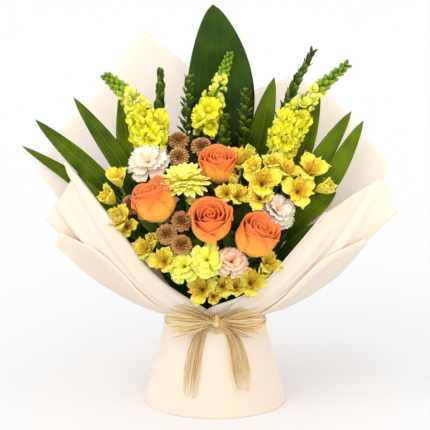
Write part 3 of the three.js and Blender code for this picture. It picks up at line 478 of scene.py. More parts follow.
def mixed(tree, share, one, other, blend="MIX"):
    """One colour laid over another by a share."""
    made = node(tree, "Mix", data_type="RGBA", blend_type=blend)
    for index, value in ((0, share), (6, one), (7, other)):
        if isinstance(value, bpy.types.NodeSocket):
            tree.links.new(value, made.inputs[index])
        else:
            made.inputs[index].default_value = value
    return made.outputs[2]


def blade_place(tree):
    """What `petal` says of a point: the share along its blade, the share across it and its tone."""
    return node(tree, "SeparateXYZ", [node(tree, "Attribute", attribute_name="petal").outputs["Vector"]]).outputs


# the streaked green of stalks and the fine lines that run along them
plant_green, take, put = shader_group("plant_green", {"Dark": "Color", "Light": "Color"},
                                      {"Colour": "Color", "Height": "Float"})
along, across, tone = blade_place(plant_green)
wave = maths(plant_green, "SINE", maths(plant_green, "MULTIPLY", across, 40.0))
share = maths(plant_green, "MULTIPLY_ADD", wave, 0.08, noise(plant_green, 38, 3))
share = maths(plant_green, "MULTIPLY_ADD", tone, 0.5, maths(plant_green, "SUBTRACT", share, 0.25))
plant_green.links.new(mixed(plant_green, share, take["Dark"], take["Light"]), put["Colour"])
plant_green.links.new(wave, put["Height"])


def green(name, dark, light, roughness):
    """Stalk tissue or bark between two screen colours."""
    dark, light = colour(*dark), colour(*light)
    made, tree, shader = finish(name, roughness, Specular_IOR_Level=0.2, Specular_Tint=light)
    shades = node(tree, "Group", node_tree=plant_green, Dark=dark, Light=light).outputs
    dress(tree, shader, shades["Colour"], shades["Height"], 0.0002, 0.4)
    return made


stalk_green = green("stalk_green", (48, 82, 22), (118, 148, 52), 0.45)
calyx_green = green("calyx_green", (52, 88, 26), (120, 158, 60), 0.5)

bm = new_mesh()
draw = random.Random(4).uniform
BUNDLED, SEPALS = 34, 5
THICK, THIN = 2.3, 1.4
for i in range(BUNDLED):
    share = sqrt((i + 0.5) / BUNDLED)
    turn = i * GOLDEN
    # cut end, binding and top: [radius, height, twist]
    line = [ring(r * share, z, turn + twist) for r, z, twist in ((30, 0.5, -0.9), (22, 62, 0), (24, 124, 0.8))]
    tube(bm, line, draw(THICK, THICK + 0.5), 8, 8, draw(0, 1))
STEM_LINES = {}
for name, (middle, face) in HEADS.items():
    down, wide, tall = CALYX[name.split("_")[0]]
    facing = Vector(face).normalized()
    foot = Vector(middle) - facing * (down + 0.5)
    root = leaves_bundle(foot, 100)
    base = foot - facing * tall
    bend = base.lerp(root, 0.3) - facing * (base - root).length * 0.18
    thick = THICK if wide > 5 else THIN
    STEM_LINES[name] = [root, bend, base]
    tube(bm, STEM_LINES[name], thick, 14, 8, draw(0, 1))
    cup = aimed(base, facing)

    def cup_surface(u, v):
        swell = thick + (wide - thick) * sin(pi / 2 * u) ** 0.8
        return cup @ spoke(swell, pi * v, tall * u)

    bmesh.ops.remove_doubles(bm, verts=blade(bm, cup_surface, 5, 12, 0.7, 1), dist=WELD)
    for k in range(SEPALS):
        turn = 2 * pi * k / SEPALS + 0.3

        def sepal(u, v):
            half = (wide * 0.42) * (1 - u) ** 0.7 * (0.6 + 0.8 * sin(pi * min(1, u * 1.6)))
            out = wide * (0.98 + 0.55 * u * u)
            rise = tall * 0.75 + wide * 1.5 * u - wide * 0.9 * u**3
            return cup @ spoke(out, turn, rise, half * v)

        blade(bm, sepal, 6, 2, 0.6, 1)
piece(bm, "stem_bundle", [stalk_green, calyx_green], ["stems"])

# ---------------- large leaves
# Blades of dark glossy leaves stand behind the flowers and fill the gaps under them: one broad and tall, the
# others narrow, each folded a little along a pale rib, with fine veins from end to end.
# [line from the bundle to the tip, width, facing]
LEAVES = {
    "leaf_tall": ([(0, 14, 125), (0, 34, 220), (5, 40, 310), (5, 42, 390), (-3, 42, 474)], 82, (0.1, -1, 0.1)),
    "leaf_left_1": ([(-12, 6, 125), (-62, 6, 200), (-112, 2, 288), (-168, 10, 367)], 25, (0.2, -1, 0.25)),
    "leaf_left_2": ([(-16, 2, 125), (-78, -6, 196), (-140, -6, 272), (-213, 0, 342)], 26, (0.1, -1, 0.35)),
    "leaf_left_3": ([(-14, 10, 125), (-88, 18, 192), (-160, 24, 258), (-231, 20, 307)], 17, (-0.2, -0.8, 0.6)),
    "leaf_left_4": ([(-8, 10, 125), (-52, 14, 210), (-98, 8, 290), (-113, 14, 372)], 29, (0.1, -1, 0.1)),
    "leaf_left_5": ([(-14, -4, 125), (-70, -26, 180), (-122, -26, 232), (-172, -10, 282)], 26, (0.3, -1, 0.5)),
    "leaf_right_1": ([(8, 10, 125), (34, 16, 220), (50, 12, 306), (70, 18, 390)], 31, (-0.2, -1, 0.1)),
    "leaf_right_2": ([(10, 10, 125), (56, 18, 210), (100, 12, 296), (124, 14, 372)], 27, (-0.15, -1, 0.15)),
    "leaf_right_3": ([(14, 4, 125), (66, 4, 200), (118, -2, 284), (161, 5, 351)], 25, (-0.1, -1, 0.2)),
    "leaf_right_4": ([(16, 0, 125), (76, -10, 192), (134, -16, 270), (175, -2, 341)], 25, (-0.15, -1, 0.3)),
    "leaf_under_1": ([(-20, -6, 125), (-58, -28, 178), (-95, -42, 217), (-120, -41, 239)], 24, (0.3, -0.8, 0.6)),
    "leaf_under_2": ([(-3, -8, 125), (-10, -28, 180), (-16, -34, 230), (-18, -32, 268)], 42, (0, -1, 0.3)),
    "leaf_under_3": ([(10, -8, 125), (24, -26, 180), (34, -34, 226), (38, -32, 262)], 42, (0, -1, 0.3)),
    "leaf_under_4": ([(16, -6, 125), (62, -24, 186), (112, -30, 238), (142, -28, 260)], 28, (-0.2, -0.8, 0.6)),
    "leaf_under_5": ([(20, -8, 125), (60, -34, 168), (102, -48, 206), (130, -44, 228)], 24, (-0.3, -0.8, 0.6)),
}


def leaf_finish(name, dark, light, rib, veins, roughness, depth=0.06, relief=0.3, sheen=0.3):
    """A leaf's patchy green with painted shade toward its foot, a paler rib along its middle and fine veins beside it.
    """
    dark, light, rib = colour(*dark), colour(*light), colour(*rib)
    made, tree, shader = finish(name, roughness, Specular_IOR_Level=sheen, Specular_Tint=(0.7, 0.9, 0.4, 1),
                                Subsurface_Weight=0.1, Subsurface_Scale=0.002)
    along, across, tone = blade_place(tree)
    patch = noise(tree, 30, 4)
    vein = maths(tree, "SINE", maths(tree, "MULTIPLY_ADD", patch, 1.5, maths(tree, "MULTIPLY", across, veins)))
    share = maths(tree, "MULTIPLY_ADD", vein, depth, maths(tree, "MULTIPLY_ADD", tone, 0.35, patch))
    # painted shade: the green darkens toward the leaf's foot, down among the stems
    share = maths(tree, "SUBTRACT", share, ramp(tree, along, (0.3, 0.5), (0.75, 0.0)))
    body = mixed(tree, ramp(tree, share, (0.35, 0.0), (0.95, 1.0)), dark, light)
    middle = ramp(tree, maths(tree, "ABSOLUTE", across), (0.0, 1.0), (0.07, 0.0))
    base = mixed(tree, maths(tree, "MULTIPLY", middle, 0.5), body, rib)
    dress(tree, shader, base, maths(tree, "MULTIPLY_ADD", middle, 2.0, vein), 0.0004, relief)
    return made


tall_leaf = leaf_finish("tall_leaf_green", (12, 34, 2), (52, 84, 16), (44, 76, 16), veins=30, roughness=0.26,
                        depth=0.015, relief=0.12)
lance_leaf = leaf_finish("lance_leaf_green", (34, 58, 4), (104, 124, 14), (112, 130, 22), veins=16, roughness=0.4,
                         depth=0.03, sheen=0.16)


def leaf(bm, line, width, face, stalk=0.35, belly=0.55, fold=0.25, tone=0.5, along=26, across=8, wave=0.12, stem=1.6,
         kind=0, fullness=1.0):
    """A blade along a line, bare up to `stalk` and broadest at `belly`, whose sides fold up and wave."""
    points = [Vector(p) for p in line]
    up = Vector(face).normalized()

    def surface(u, v):
        spot = along_line(points, u)
        ahead = heading(points, u, 0.01)
        side = ahead.cross(up).normalized()
        top = side.cross(ahead)
        share = max(0.0, (u - stalk) / (1 - stalk))
        peak = belly - 0.1
        if u < stalk:
            wide = 0.0
        elif share < peak:
            wide = sin(pi / 2 * share / peak)
        else:
            wide = max(0.0, cos(pi / 2 * (share - peak) / (1 - peak))) ** fullness
        half = max(stem * (1 - u * 0.9), width / 2 * wide)
        lift = fold * half * abs(v) ** 1.3 + wave * half * sin(13 * u + 2.4 * v + tone * 6) * v * v
        return at(*(spot + side * (half * v) + top * lift))

    blade(bm, surface, along, across, tone, kind)


draw = random.Random(90).uniform
for name, shape in LEAVES.items():
    bm = new_mesh()
    if name == "leaf_tall":
        leaf(bm, *shape, 0.28, 0.62, 0.14, tone=0.5, along=60, across=14, wave=0.04, fullness=0.68)
    else:
        leaf(bm, *shape, tone=draw(0.2, 0.9), fullness=0.7)
    piece(bm, name + "_blade", [tall_leaf if name == "leaf_tall" else lance_leaf], [name], 0.6)

# ---------------- leaves on the stems
# The stems keep their upper leaves, which close the gaps between the blooms; their green is darker than the other
# leaves' as painted shade for those deep gaps. Each grows from its stem, out to the side and up.
# a darker green than the other leaves: partly their own colour, partly painted shade for the gaps
shade_dark_stem_leaf = leaf_finish("stem_leaf_green", (26, 50, 8), (74, 104, 24), (104, 130, 50), veins=16, roughness=0.45)

bm = new_mesh()
draw = random.Random(8).uniform
LEAVES_EACH = 7
for name, line in STEM_LINES.items():
    for i in range(LEAVES_EACH):
        share = 0.42 + 0.075 * i + draw(-0.02, 0.02)
        spot = along_line(line, share)
        ahead = heading(line, share, 0.03)
        turn = i * GOLDEN + draw(0, 1)
        out = Vector((cos(turn), 0.5 + 0.7 * sin(turn), 0.1)).normalized()
        long = draw(34, 52)
        tip = spot + (out + ahead * 0.9).normalized() * long
        middle = spot.lerp(tip, 0.5) + UP * 4
        leaf(bm, [spot, middle, tip], draw(12, 19), (draw(-0.4, 0.4), -1, 0.5), stalk=0.06, belly=0.52, fold=0.2,
             tone=draw(0, 1), along=9, across=4, wave=0.2, stem=0.7)
# tips of the leaves that fill the foot of the V, and one behind the left blooms
LOW_TIPS = ((-72, -56, 198), (-58, -64, 184), (-46, -70, 172), (-34, -72, 160), (-20, -72, 147), (5, -72, 140),
            (24, -72, 150), (38, -70, 163), (54, -66, 180), (70, -58, 198), (84, -50, 216), (-86, -46, 216),
            (-8, -70, 152), (14, -70, 160), (-66, -38, 168), (-58, -40, 159), (-50, -42, 151), (-42, -44, 144),
            (-118, -30, 288))
for tip in LOW_TIPS:
    tip, root = Vector(tip), Vector((tip[0] * 0.25, -30, 122))
    leaf(bm, [root, root.lerp(tip, 0.55) + Vector((0, 4, 0)), tip], draw(15, 20), (draw(-0.3, 0.3), -1, 0.4),
         stalk=0.1, belly=0.6, fold=0.2, tone=draw(0, 0.6), along=9, across=4, wave=0.2, stem=0.7)
piece(bm, "stem_foliage", [shade_dark_stem_leaf], [], 0.4)

# ---------------- orange roses
# Four half-open roses. A loose scroll of small petals is wrapped by broad ones that overlap round it and roll
# back at their rims, yellow-orange outside, redder within and pinkish at the edge.

# a petal's colour from its foot to its rim, with veins that spread along it and patches of tone
ins = dict.fromkeys(("Foot", "Middle", "Rim", "Edge"), "Color")
petal_tone, take, put = shader_group("petal_tone", {**ins, "Veins": "Float", "Depth": "Float"},
                                     {"Colour": "Color", "Height": "Float"})
tree = petal_tone
along, across, tone = blade_place(tree)
patch = noise(tree, 90, 3)
up = maths(tree, "MULTIPLY_ADD", maths(tree, "SUBTRACT", patch, 0.5), 0.35, along)
lower = mixed(tree, ramp(tree, up, (0.05, 0.0), (0.55, 1.0)), take["Foot"], take["Middle"])
whole = mixed(tree, ramp(tree, up, (0.68, 0.0), (1.0, 1.0)), lower, take["Rim"])
whole = mixed(tree, ramp(tree, along, (0.93, 0.0), (0.97, 1.0)), whole, take["Edge"])
vein = maths(tree, "SINE", maths(tree, "MULTIPLY_ADD", patch, 2.0, maths(tree, "MULTIPLY", across, take["Veins"])))
grey = ramp(tree, maths(tree, "MULTIPLY_ADD", vein, 0.5, 0.5), (0.0, 1.0), (1.0, 0.72))
veined = mixed(tree, take["Depth"], whole, grey, "MULTIPLY")
tree.links.new(mixed(tree, 1.0, veined, ramp(tree, tone, (0.0, 0.72), (1.0, 1.0)), "MULTIPLY"), put["Colour"])
tree.links.new(vein, put["Height"])


def petal_finish(name, foot, middle, rim, edge=None, veins=40.0, depth=0.2, roughness=0.55, ridge=0.3, glow=0.3):
    """Petal tissue in screen colours from its foot to its edge, with veins of some depth, which glows a little."""
    foot, middle, rim, edge = (colour(*each) for each in (foot, middle, rim, edge or rim))
    made, tree, shader = finish(name, roughness, Specular_IOR_Level=0.2, Specular_Tint=middle,
                                Subsurface_Weight=glow, Subsurface_Scale=0.0012)
    shader.inputs["Subsurface Radius"].default_value = (1.0, 0.95, 0.9)
    shades = node(tree, "Group", node_tree=petal_tone, Foot=foot, Middle=middle, Rim=rim, Edge=edge, Veins=veins,
                  Depth=depth).outputs
    dress(tree, shader, shades["Colour"], shades["Height"], 0.0003, ridge)
    return made


rose_petal = petal_finish("rose_petal", (255, 196, 84), (253, 164, 68), (250, 142, 74), (248, 144, 88), veins=30,
                          depth=0.1, roughness=0.5)
rose_heart = petal_finish("rose_heart", (220, 96, 28), (246, 132, 48), (252, 148, 72), (250, 146, 88), veins=30,
                          depth=0.1, roughness=0.5)
# [how many, belly, height, half of the arc, how far its rim rolls back, finish], from the heart out
ROSE_ROWS = ((3, 0.46, 0.92, 78, 0.4, 1), (3, 0.62, 0.97, 78, 0.7, 1), (3, 0.8, 1.01, 80, 1.1, 0),
             (3, 0.93, 0.93, 82, 1.6, 0))
ROLL_FROM = 0.72  # share of a petal's height where its rim starts to roll


def rose(name, width, roll, seed, deep=0.46, open_rim=0.16):
    """A rose whose petals are broadest at share `deep` of their height and close in by open_rim above it."""
    bm = new_mesh()
    draw = random.Random(seed).uniform
    whole = on_head(name, width * 0.4, roll)
    radius, height, scroll_turns = width * 0.47, width * 0.88, 1.8

    def scroll(u, v):
        share = (v + 1) / 2
        turn = share * 2 * pi * scroll_turns
        out = radius * (0.05 + 0.28 * share) * (0.85 + 0.25 * sin(pi * u)) + 2.2 * max(0, u - 0.8) * (0.4 + share) * 3
        rise = height * (0.3 + u * (0.6 + 0.03 * sin(2.3 * turn + seed) - 0.03 * share))
        return whole @ spoke(out, turn, rise)

    blade(bm, scroll, 9, 64, 0.85, 1)
    for row, (count, belly, tall, arc, roll_back, kind) in enumerate(ROSE_ROWS):
        for i in range(count):
            turn = 2 * pi * i / count + row * 1.13 + draw(-0.2, 0.2)
            wide, rises = radius * belly, height * tall * draw(0.96, 1.03)
            rolls = roll_back * draw(0.75, 1.2)
            sway, half_arc = draw(0, 6), radians(arc)

            def surface(u, v):
                swell = sin(pi / 2 * min(1, u / deep))
                narrow = 1 - open_rim * max(0.0, (u - deep) / (1 - deep)) ** 1.5
                rim = max(0.0, (u - ROLL_FROM) / (1 - ROLL_FROM))
                bent = rolls * rim * (0.45 + 0.55 * abs(v) ** 1.3)
                length = rises * (1 - ROLL_FROM)
                out = wide * (0.16 + 0.84 * swell) * narrow + 1.3 * v + 0.5 * sin(2.6 * v + sway) * u
                rise = rises * min(u, ROLL_FROM)
                if bent > 1e-4:
                    out += length * rim / bent * (1 - cos(bent))
                    rise += length * rim / bent * sin(bent)
                rise -= rises * 0.26 * u * abs(v) ** 2.6 - 1.1 * sin(4 * v + sway) * u**4
                angle = turn + half_arc * v * (0.45 + 0.55 * swell)
                return whole @ spoke(out, angle, rise)

            blade(bm, surface, 15, 14, draw(0.75, 1), kind)
    piece(bm, name + "_bloom", [rose_petal, rose_heart], [name], 0.5, 1)


rose("rose_left", 54, 0.4, 1)
rose("rose_top", 45.4, 1.0, 2, 0.6, 0.1)
rose("rose_middle", 51.8, 0.2, 3)
rose("rose_right", 52.4, 1.7, 4)

# ---------------- carnations
# Whorls of fan-shaped petals with pinked edges fill a long calyx. One cream bloom is spread like a star and one
# is full and ruffled. A small blush one is still loose, and two lime ones are stars again.


def petal(bm, whole, turn, length, width, lean, curl, start=1.0, base=0.0, foot=0.2, belly=0.6, tip=0.3, cup=0.2,
          wave=0.0, waves=2.0, teeth=0.0, point=0.0, along=7, across=6, tone=0.5, kind=0, phase=0.0):
    """A petal that leaves its bloom's axis at `lean` degrees and bends out by `curl` more along its length.

    Its width is `foot` of the whole at its base, all of it at share `belly` and `tip` at its end. It is cupped,
    ruffled by `wave` in so many waves, and cut in by teeth or to a point."""
    first, bend = radians(lean), radians(curl) or 1e-4

    def surface(u, v):
        u = 1 - (1 - u) ** 1.4
        if u < belly:
            wide = foot + (1 - foot) * sin(pi / 2 * u / belly)
        else:
            wide = tip + (1 - tip) * sqrt(max(0, 1 - ((u - belly) / (1 - belly)) ** 2))
        cut = teeth * (0.5 + 0.5 * cos(9 * pi * v + phase)) + point * min(1, abs(v) * 1.6) ** 1.5 + 0.1 * v * v
        reach = u * (1 - cut * u**6)
        angle = first + bend * reach
        half = width / 2 * wide
        lift = cup * half * v * v + wave * u * u * sin(waves * pi * v + phase)
        out = start + length / bend * (cos(first) - cos(angle)) - lift * cos(angle)
        rise = base + length / bend * (sin(angle) - sin(first)) + lift * sin(angle)
        return whole @ spoke(out, turn, rise, half * v)

    blade(bm, surface, along, across, tone, kind)


def carnation(name, width, roll, petal_material, seed, rows, ruffle):
    """Rows from the outside in: [how many, length and width as shares of the bloom's, lean, height]."""
    bm = new_mesh()
    draw = random.Random(seed).uniform
    whole = on_head(name, width * 0.275, roll)
    for count, length, wide, lean, base in rows:
        for i in range(count):
            turn = 2 * pi * (i + draw(0, 0.4)) / count + lean
            long = width * length * draw(0.92, 1.06)
            petal(bm, whole, turn, long, width * wide, lean - 12, 74 - 0.5 * lean + draw(-10, 14), 1.2, base, 0.15,
                  0.86, 0.74, 0.06, width * ruffle * draw(0.7, 1.3), draw(1.8, 3.0), 0.1, 0, 8, 16, draw(0.75, 1), 0,
                  draw(0, 6))
    piece(bm, name + "_bloom", [petal_material], [name], 0.3)


STAR = ((6, 0.6, 0.46, 78, 1), (6, 0.58, 0.4, 54, 2), (5, 0.5, 0.3, 30, 3))
LOOSE = ((6, 0.57, 0.5, 84, 1), (5, 0.56, 0.5, 60, 2), (4, 0.55, 0.44, 38, 3), (3, 0.48, 0.36, 16, 4))
FULL = ((7, 0.55, 0.48, 84, 1), (6, 0.55, 0.46, 64, 2), (5, 0.55, 0.44, 42, 3), (4, 0.5, 0.38, 18, 4))
cream_petal = petal_finish("cream_petal", (255, 206, 156), (255, 238, 214), (255, 242, 226), (250, 222, 200),
                           veins=26, depth=0.05, roughness=0.65, glow=0.7)
blush_petal = petal_finish("blush_petal", (236, 164, 110), (255, 216, 180), (255, 230, 206), (236, 184, 156),
                           veins=26, depth=0.12, roughness=0.65)
lime_petal = petal_finish("lime_petal", (224, 226, 60), (255, 250, 104), (255, 254, 156), veins=26, depth=0.08,
                          roughness=0.6, glow=0.5)
carnation("carnation_left", 46, 0.2, cream_petal, 11, STAR, 0.025)
carnation("carnation_right", 43.7, 0.8, cream_petal, 12, FULL, 0.032)
carnation("carnation_low", 35, 0.5, blush_petal, 13, LOOSE, 0.035)
carnation("lime_carnation_left", 37, 0.1, lime_petal, 14, STAR, 0.03)
carnation("lime_carnation_right", 37, 0.6, lime_petal, 15, STAR, 0.03)

# ---------------- lemon chrysanthemum
# A flat head. Rows of narrow strap petals, cupped like spoons, stand round a greener heart, and the outer ones
# hang a little.
lemon_petal = petal_finish("lemon_petal", (246, 236, 70), (255, 250, 112), (255, 252, 162), veins=12, depth=0.08)
# [how many, length, lean, curl, height], from the outside in
LEMON_ROWS = ((20, 31, 88, 18, 3), (20, 30, 80, 10, 4), (18, 28, 71, 6, 5), (17, 25, 62, 4, 6), (15, 21, 50, 0, 6),
              (12, 16, 36, -6, 6), (9, 11, 16, -8, 6))

bm = new_mesh()
draw = random.Random(21).uniform
whole = on_head("lemon_chrysanthemum", 9.3)
for count, length, lean, curl, base in LEMON_ROWS:
    for i in range(count):
        turn = 2 * pi * (i + draw(0, 0.3)) / count + lean
        petal(bm, whole, turn, length * draw(0.86, 1.04), 7.4, lean + draw(-5, 5), curl + draw(-14, 14), 0.8, base,
              0.35, 0.74, 0.6, 0.14, along=6, across=4, tone=draw(0.94, 1))
piece(bm, "lemon_chrysanthemum_bloom", [lemon_petal], ["lemon_chrysanthemum"], 0.4)

# ---------------- button chrysanthemums
# Eight small tan pompons. Each is a low dome packed with short curled florets, paler at their tips and dark in
# the gaps between them.
button_floret = petal_finish("button_floret", (118, 70, 26), (216, 162, 96), (244, 204, 146), veins=8, depth=0.1,
                             roughness=0.7, glow=0.4)
FLORETS = 130
CORE, CORE_HEIGHT = (8.6, 8.6, 6.2), 4.6


def ball(bm, whole, centre, halves, shade, kind=0, rounds=2):
    """A ball with three half sizes, all of it in one place of the petal's scale of colour."""
    place = whole @ Matrix.Translation(centre) @ Matrix.Diagonal((*halves, 1))
    corners = bmesh.ops.create_icosphere(bm, subdivisions=rounds, radius=1, matrix=place)["verts"]
    layer = bm.verts.layers.float_vector["petal"]
    for corner in corners:
        corner[layer] = shade
    smooth(corners, kind)
    return corners


for number in range(1, 9):
    bm = new_mesh()
    draw = random.Random(30 + number).uniform
    whole = on_head(f"button_{number}", 6.2, number)
    ball(bm, whole, (0, 0, CORE_HEIGHT), CORE, (0, 0, 0.5))
    for i in range(FLORETS):
        share = (i + 0.5) / FLORETS
        polar = 1.9 * share**0.55
        length = 3.4 + 3.4 * share
        away = Vector((sin(polar), 0, cos(polar)))
        place = Vector((6.9 * away.x, 0, CORE_HEIGHT + 5.0 * away.z))
        turned = Matrix.Rotation(i * GOLDEN, 4, "Z") @ Matrix.Translation(place)
        turned = turned @ UP.rotation_difference(away).to_matrix().to_4x4()
        petal(bm, whole @ turned, draw(-0.7, 0.7), length * draw(0.8, 1.2), 2.7, 4, 52 * share - 8, 0, 0, 0.5, 0.7,
              0.5, 0.7, along=3, across=2, tone=draw(0.4, 1))
    piece(bm, f"button_{number}_bloom", [button_floret], [f"button_{number}"])

# ---------------- alstroemeria
# Sprays of yellow flowers on thin stalks from one fork. Each has three broad outer tepals with green tips and
# three narrow inner ones, deep yellow and streaked red-brown, round six curved stamens. Some are still in bud.
# [fork, flowers], and a flower is [middle, direction it faces, openness, size, roll]
SPRAYS = {
    "alstroemeria_left": ((-78, -30, 218), [
        ((-113, -44, 280), (-0.2, -0.45, 0.87), 0.55, 0.9, 0.2),
        ((-125, -46, 257), (-0.6, -0.5, 0.62), 0.5, 0.8, 1),
        ((-112, -62, 236), (-0.5, -0.72, 0.48), 0.9, 0.9, 0.5),
        ((-126, -44, 268), (-0.5, -0.4, 0.75), 0.0, 0.5, 0.3),
        ((-104, -62, 226), (-0.2, -0.9, 0.3), 0.8, 0.7, 0.2)]),
    "alstroemeria_middle": ((16, -34, 232), [
        ((28, -26, 300), (0.1, -0.5, 0.86), 0.8, 0.9, 0.4),
        ((28, -66, 264), (0.3, -0.8, 0.5), 0.8, 0.74, 0),
        ((12, -66, 266), (-0.2, -0.9, 0.4), 0.75, 0.66, 0.5),
        ((-26, -64, 257), (-0.85, -0.45, 0.3), 0.05, 0.56, 0.7),
        ((21, -56, 279), (0.15, -0.5, 0.85), 0.2, 0.62, 0.1),
        ((40, -34, 308), (0.3, -0.5, 0.8), 0.2, 0.65, 0.2)]),
    "alstroemeria_upper_right": ((52, -24, 232), [
        ((55, -62, 280), (0.05, -0.86, 0.5), 1, 1.1, 0.5),
        ((84, -46, 290), (0.3, -0.5, 0.8), 0.75, 0.9, 0.2),
        ((98, -58, 268), (0.2, -0.9, 0.39), 1, 1, 0.9),
        ((66, -48, 298), (-0.1, -0.6, 0.8), 0.6, 0.8, 0.6),
        ((44, -58, 296), (-0.3, -0.8, 0.6), 0.7, 0.7, 0.9),
        ((52, -70, 262), (0.0, -0.9, 0.4), 0.85, 0.8, 0.2)]),
    "alstroemeria_far_right": ((84, -16, 232), [
        ((113, -42, 291), (0.25, -0.66, 0.71), 0.9, 1, 0.1),
        ((128, -46, 270), (0.8, -0.42, 0.43), 0.3, 0.85, 0.6)]),
    "alstroemeria_low_left": ((-56, -44, 164), [
        ((-82, -78, 203), (-0.55, -0.7, 0.46), 0.8, 0.85, 0.3),
        ((-60, -90, 192), (-0.25, -0.86, 0.44), 0.9, 0.85, 0.9),
        ((-72, -80, 214), (-0.4, -0.7, 0.6), 0.3, 0.6, 0.5)]),
    "alstroemeria_foot": ((-4, -44, 140), [
        ((-17, -90, 158), (-0.25, -0.9, 0.35), 0.85, 0.9, 0.2),
        ((9, -92, 163), (0.1, -0.9, 0.42), 0.8, 0.72, 0.9),
        ((-2, -94, 150), (0.1, -0.95, 0.2), 0.5, 0.6, 0.4),
        ((24, -90, 161), (0.2, -0.9, 0.4), 0.7, 0.7, 0.6)]),
    "alstroemeria_low_right": ((34, -40, 164), [
        ((43, -86, 165), (0.25, -0.9, 0.36), 0.85, 0.92, 0.5),
        ((62, -82, 187), (0.5, -0.76, 0.42), 0.8, 0.8, 0.1),
        ((56, -86, 178), (0.3, -0.9, 0.3), 0.4, 0.6, 0.8)]),
}
outer_tepal = petal_finish("outer_tepal", (252, 224, 62), (255, 238, 88), (252, 242, 120), (214, 220, 96),
                           veins=18, depth=0.16, roughness=0.45, ridge=0.6, glow=0.4)
# the inner ones have short red-brown dashes that run along their middle
inner_tepal = petal_finish("inner_tepal", (244, 190, 40), (255, 222, 60), (252, 232, 94), veins=14, depth=0.12,
                           roughness=0.45)
tree = inner_tepal.node_tree
base = tree.nodes["Principled BSDF"].inputs["Base Color"]
spread = node(tree, "Attribute", attribute_name="petal").outputs["Vector"]
spread = node(tree, "VectorMath", [spread, (5, 11, 3)], operation="MULTIPLY").outputs[0]
dash = node(tree, "TexNoise", Vector=spread, Scale=1.6, Detail=1).outputs["Fac"]
where = ramp(tree, blade_place(tree)["X"], (0.2, 0.0), (0.35, 1.0), (0.78, 1.0), (0.9, 0.0))
share = maths(tree, "MULTIPLY", ramp(tree, dash, (0.58, 0.0), (0.64, 1.0)), where)
tree.links.new(mixed(tree, share, base.links[0].from_socket, colour(150, 60, 18)), base)
stamen = green("stamen", (160, 120, 44), (224, 190, 84), 0.5)
FULL_WIDTH, STAMENS, BRACTS = 50, 6, 7
STAMENS_FROM = 0.25  # openness from which the stamens show
# painted shade: flowers low in the bouquet get a lower tone for the shade they stand in
PAINTED_SHADE_BELOW, PAINTED_SHADE_BY = 242, 0.55  # flowers below this height are darker


def lily(bm, whole, width, openness, draw, painted_shade):
    """A flower that is a bud at openness 0, with its tone lowered by painted shade."""
    for i in range(3):
        turn = 2 * pi * i / 3
        petal(bm, whole, turn + draw(-0.15, 0.15), width * 0.64 * draw(0.92, 1.04), width * 0.4,
              12 + draw(-4, 4), -26 + (118 + draw(-26, 14)) * openness, 1.5, 0, 0.16, 0.66, 0.05, 0.16,
              width * 0.034, 2.6, 0, 0.1, 12, 12, draw(0.86, 1) - painted_shade, 0, draw(0, 6))
        turn += pi / 3
        petal(bm, whole, turn + draw(-0.15, 0.15), width * 0.58 * draw(0.92, 1.04), width * 0.24,
              8 + draw(-3, 3), -22 + (96 + draw(-20, 14)) * openness, 1.2, 0.5, 0.2, 0.62, 0.05, 0.4, width * 0.02, 2,
              0, 0.12, 10, 8, draw(0.6, 1) - painted_shade, 1, draw(0, 6))
    if openness < STAMENS_FROM:
        return
    for i in range(STAMENS):
        turn = 2 * pi * i / STAMENS + 0.4
        reach = draw(0.34, 0.44) * width
        lean = draw(0.12, 0.26)

        def thread(u, v):
            return whole @ spoke(0.8 + reach * lean * u * u * 2, turn, reach * u, -0.35 * v)

        blade(bm, thread, 5, 1, 0.4, 2)
        ball(bm, whole, spoke(0.8 + reach * lean * 2, turn, reach), (0.7, 0.7, 1.5), (0.5, 0, 0.2), 2, 1)


for number, (name, (hub, flowers)) in enumerate(SPRAYS.items()):
    bm = new_mesh()
    draw = random.Random(50 + number).uniform
    fork = Vector(hub)
    tube(bm, [leaves_bundle(fork, FORK_ROOT), fork], 2, 4, 6, 0.5, 3)
    for i in range(BRACTS):
        tip = fork + spoke(26, 2 * pi * i / BRACTS, 22)
        leaf(bm, [fork, fork.lerp(tip, 0.5) + UP * 6, tip], 9, (0, -1, 0.3), 0.05, 0.5, 0.2, draw(0, 1), 8, 2, 0.1,
             0.6, 4)
    for middle, face, openness, size, roll in flowers:
        facing = Vector(face).normalized()
        width = FULL_WIDTH * size
        foot = Vector(middle) - facing * width * 0.32
        # painted shade darkens the flowers low in the bouquet
        painted_shade = PAINTED_SHADE_BY if middle[2] < PAINTED_SHADE_BELOW else 0
        lily(bm, aimed(foot, facing, roll), width, openness, draw, painted_shade)
        tube(bm, [fork, fork.lerp(foot, 0.55) - facing * 7, foot + facing], 1.1, 8, 6, 0.6, 3)
        ball(bm, aimed(foot - facing * 4, facing), (0, 0, 0), (2.2, 2.2, 5), (0.5, 0, 0.8), 3)
    piece(bm, name + "_spray", [outer_tepal, inner_tepal, stamen, stalk_green, shade_dark_stem_leaf], [name], 0.3)

# ---------------- snapdragons
# Three spikes of frilled lemon-yellow florets, each with two lips and a closed mouth. They give way to pale
# half-open ones, and then to green buds that shrink to the tip.
# [line from the lowest floret to the tip, florets, size]
SPIKES = {
    "snapdragon_left": ([(-74, -10, 304), (-80, -10, 334), (-98, -10, 366), (-127, -8, 394)], 26, 1.16),
    "snapdragon_middle": ([(-12, -4, 328), (-8, -4, 352), (4, 2, 382), (17, 8, 418)], 17, 0.86),
    "snapdragon_right": ([(78, -6, 304), (88, -8, 336), (110, -10, 368), (154, -8, 408)], 28, 1.04),
}
snap_petal = petal_finish("snapdragon_petal", (196, 188, 30), (246, 240, 56), (253, 250, 100), veins=12, depth=0.1)
snap_pale = petal_finish("snapdragon_pale", (176, 190, 60), (238, 238, 92), (250, 250, 140), veins=10, depth=0.1)
snap_bud = petal_finish("snapdragon_bud", (70, 104, 24), (136, 166, 48), (200, 212, 90), veins=8, depth=0.15,
                        roughness=0.5)
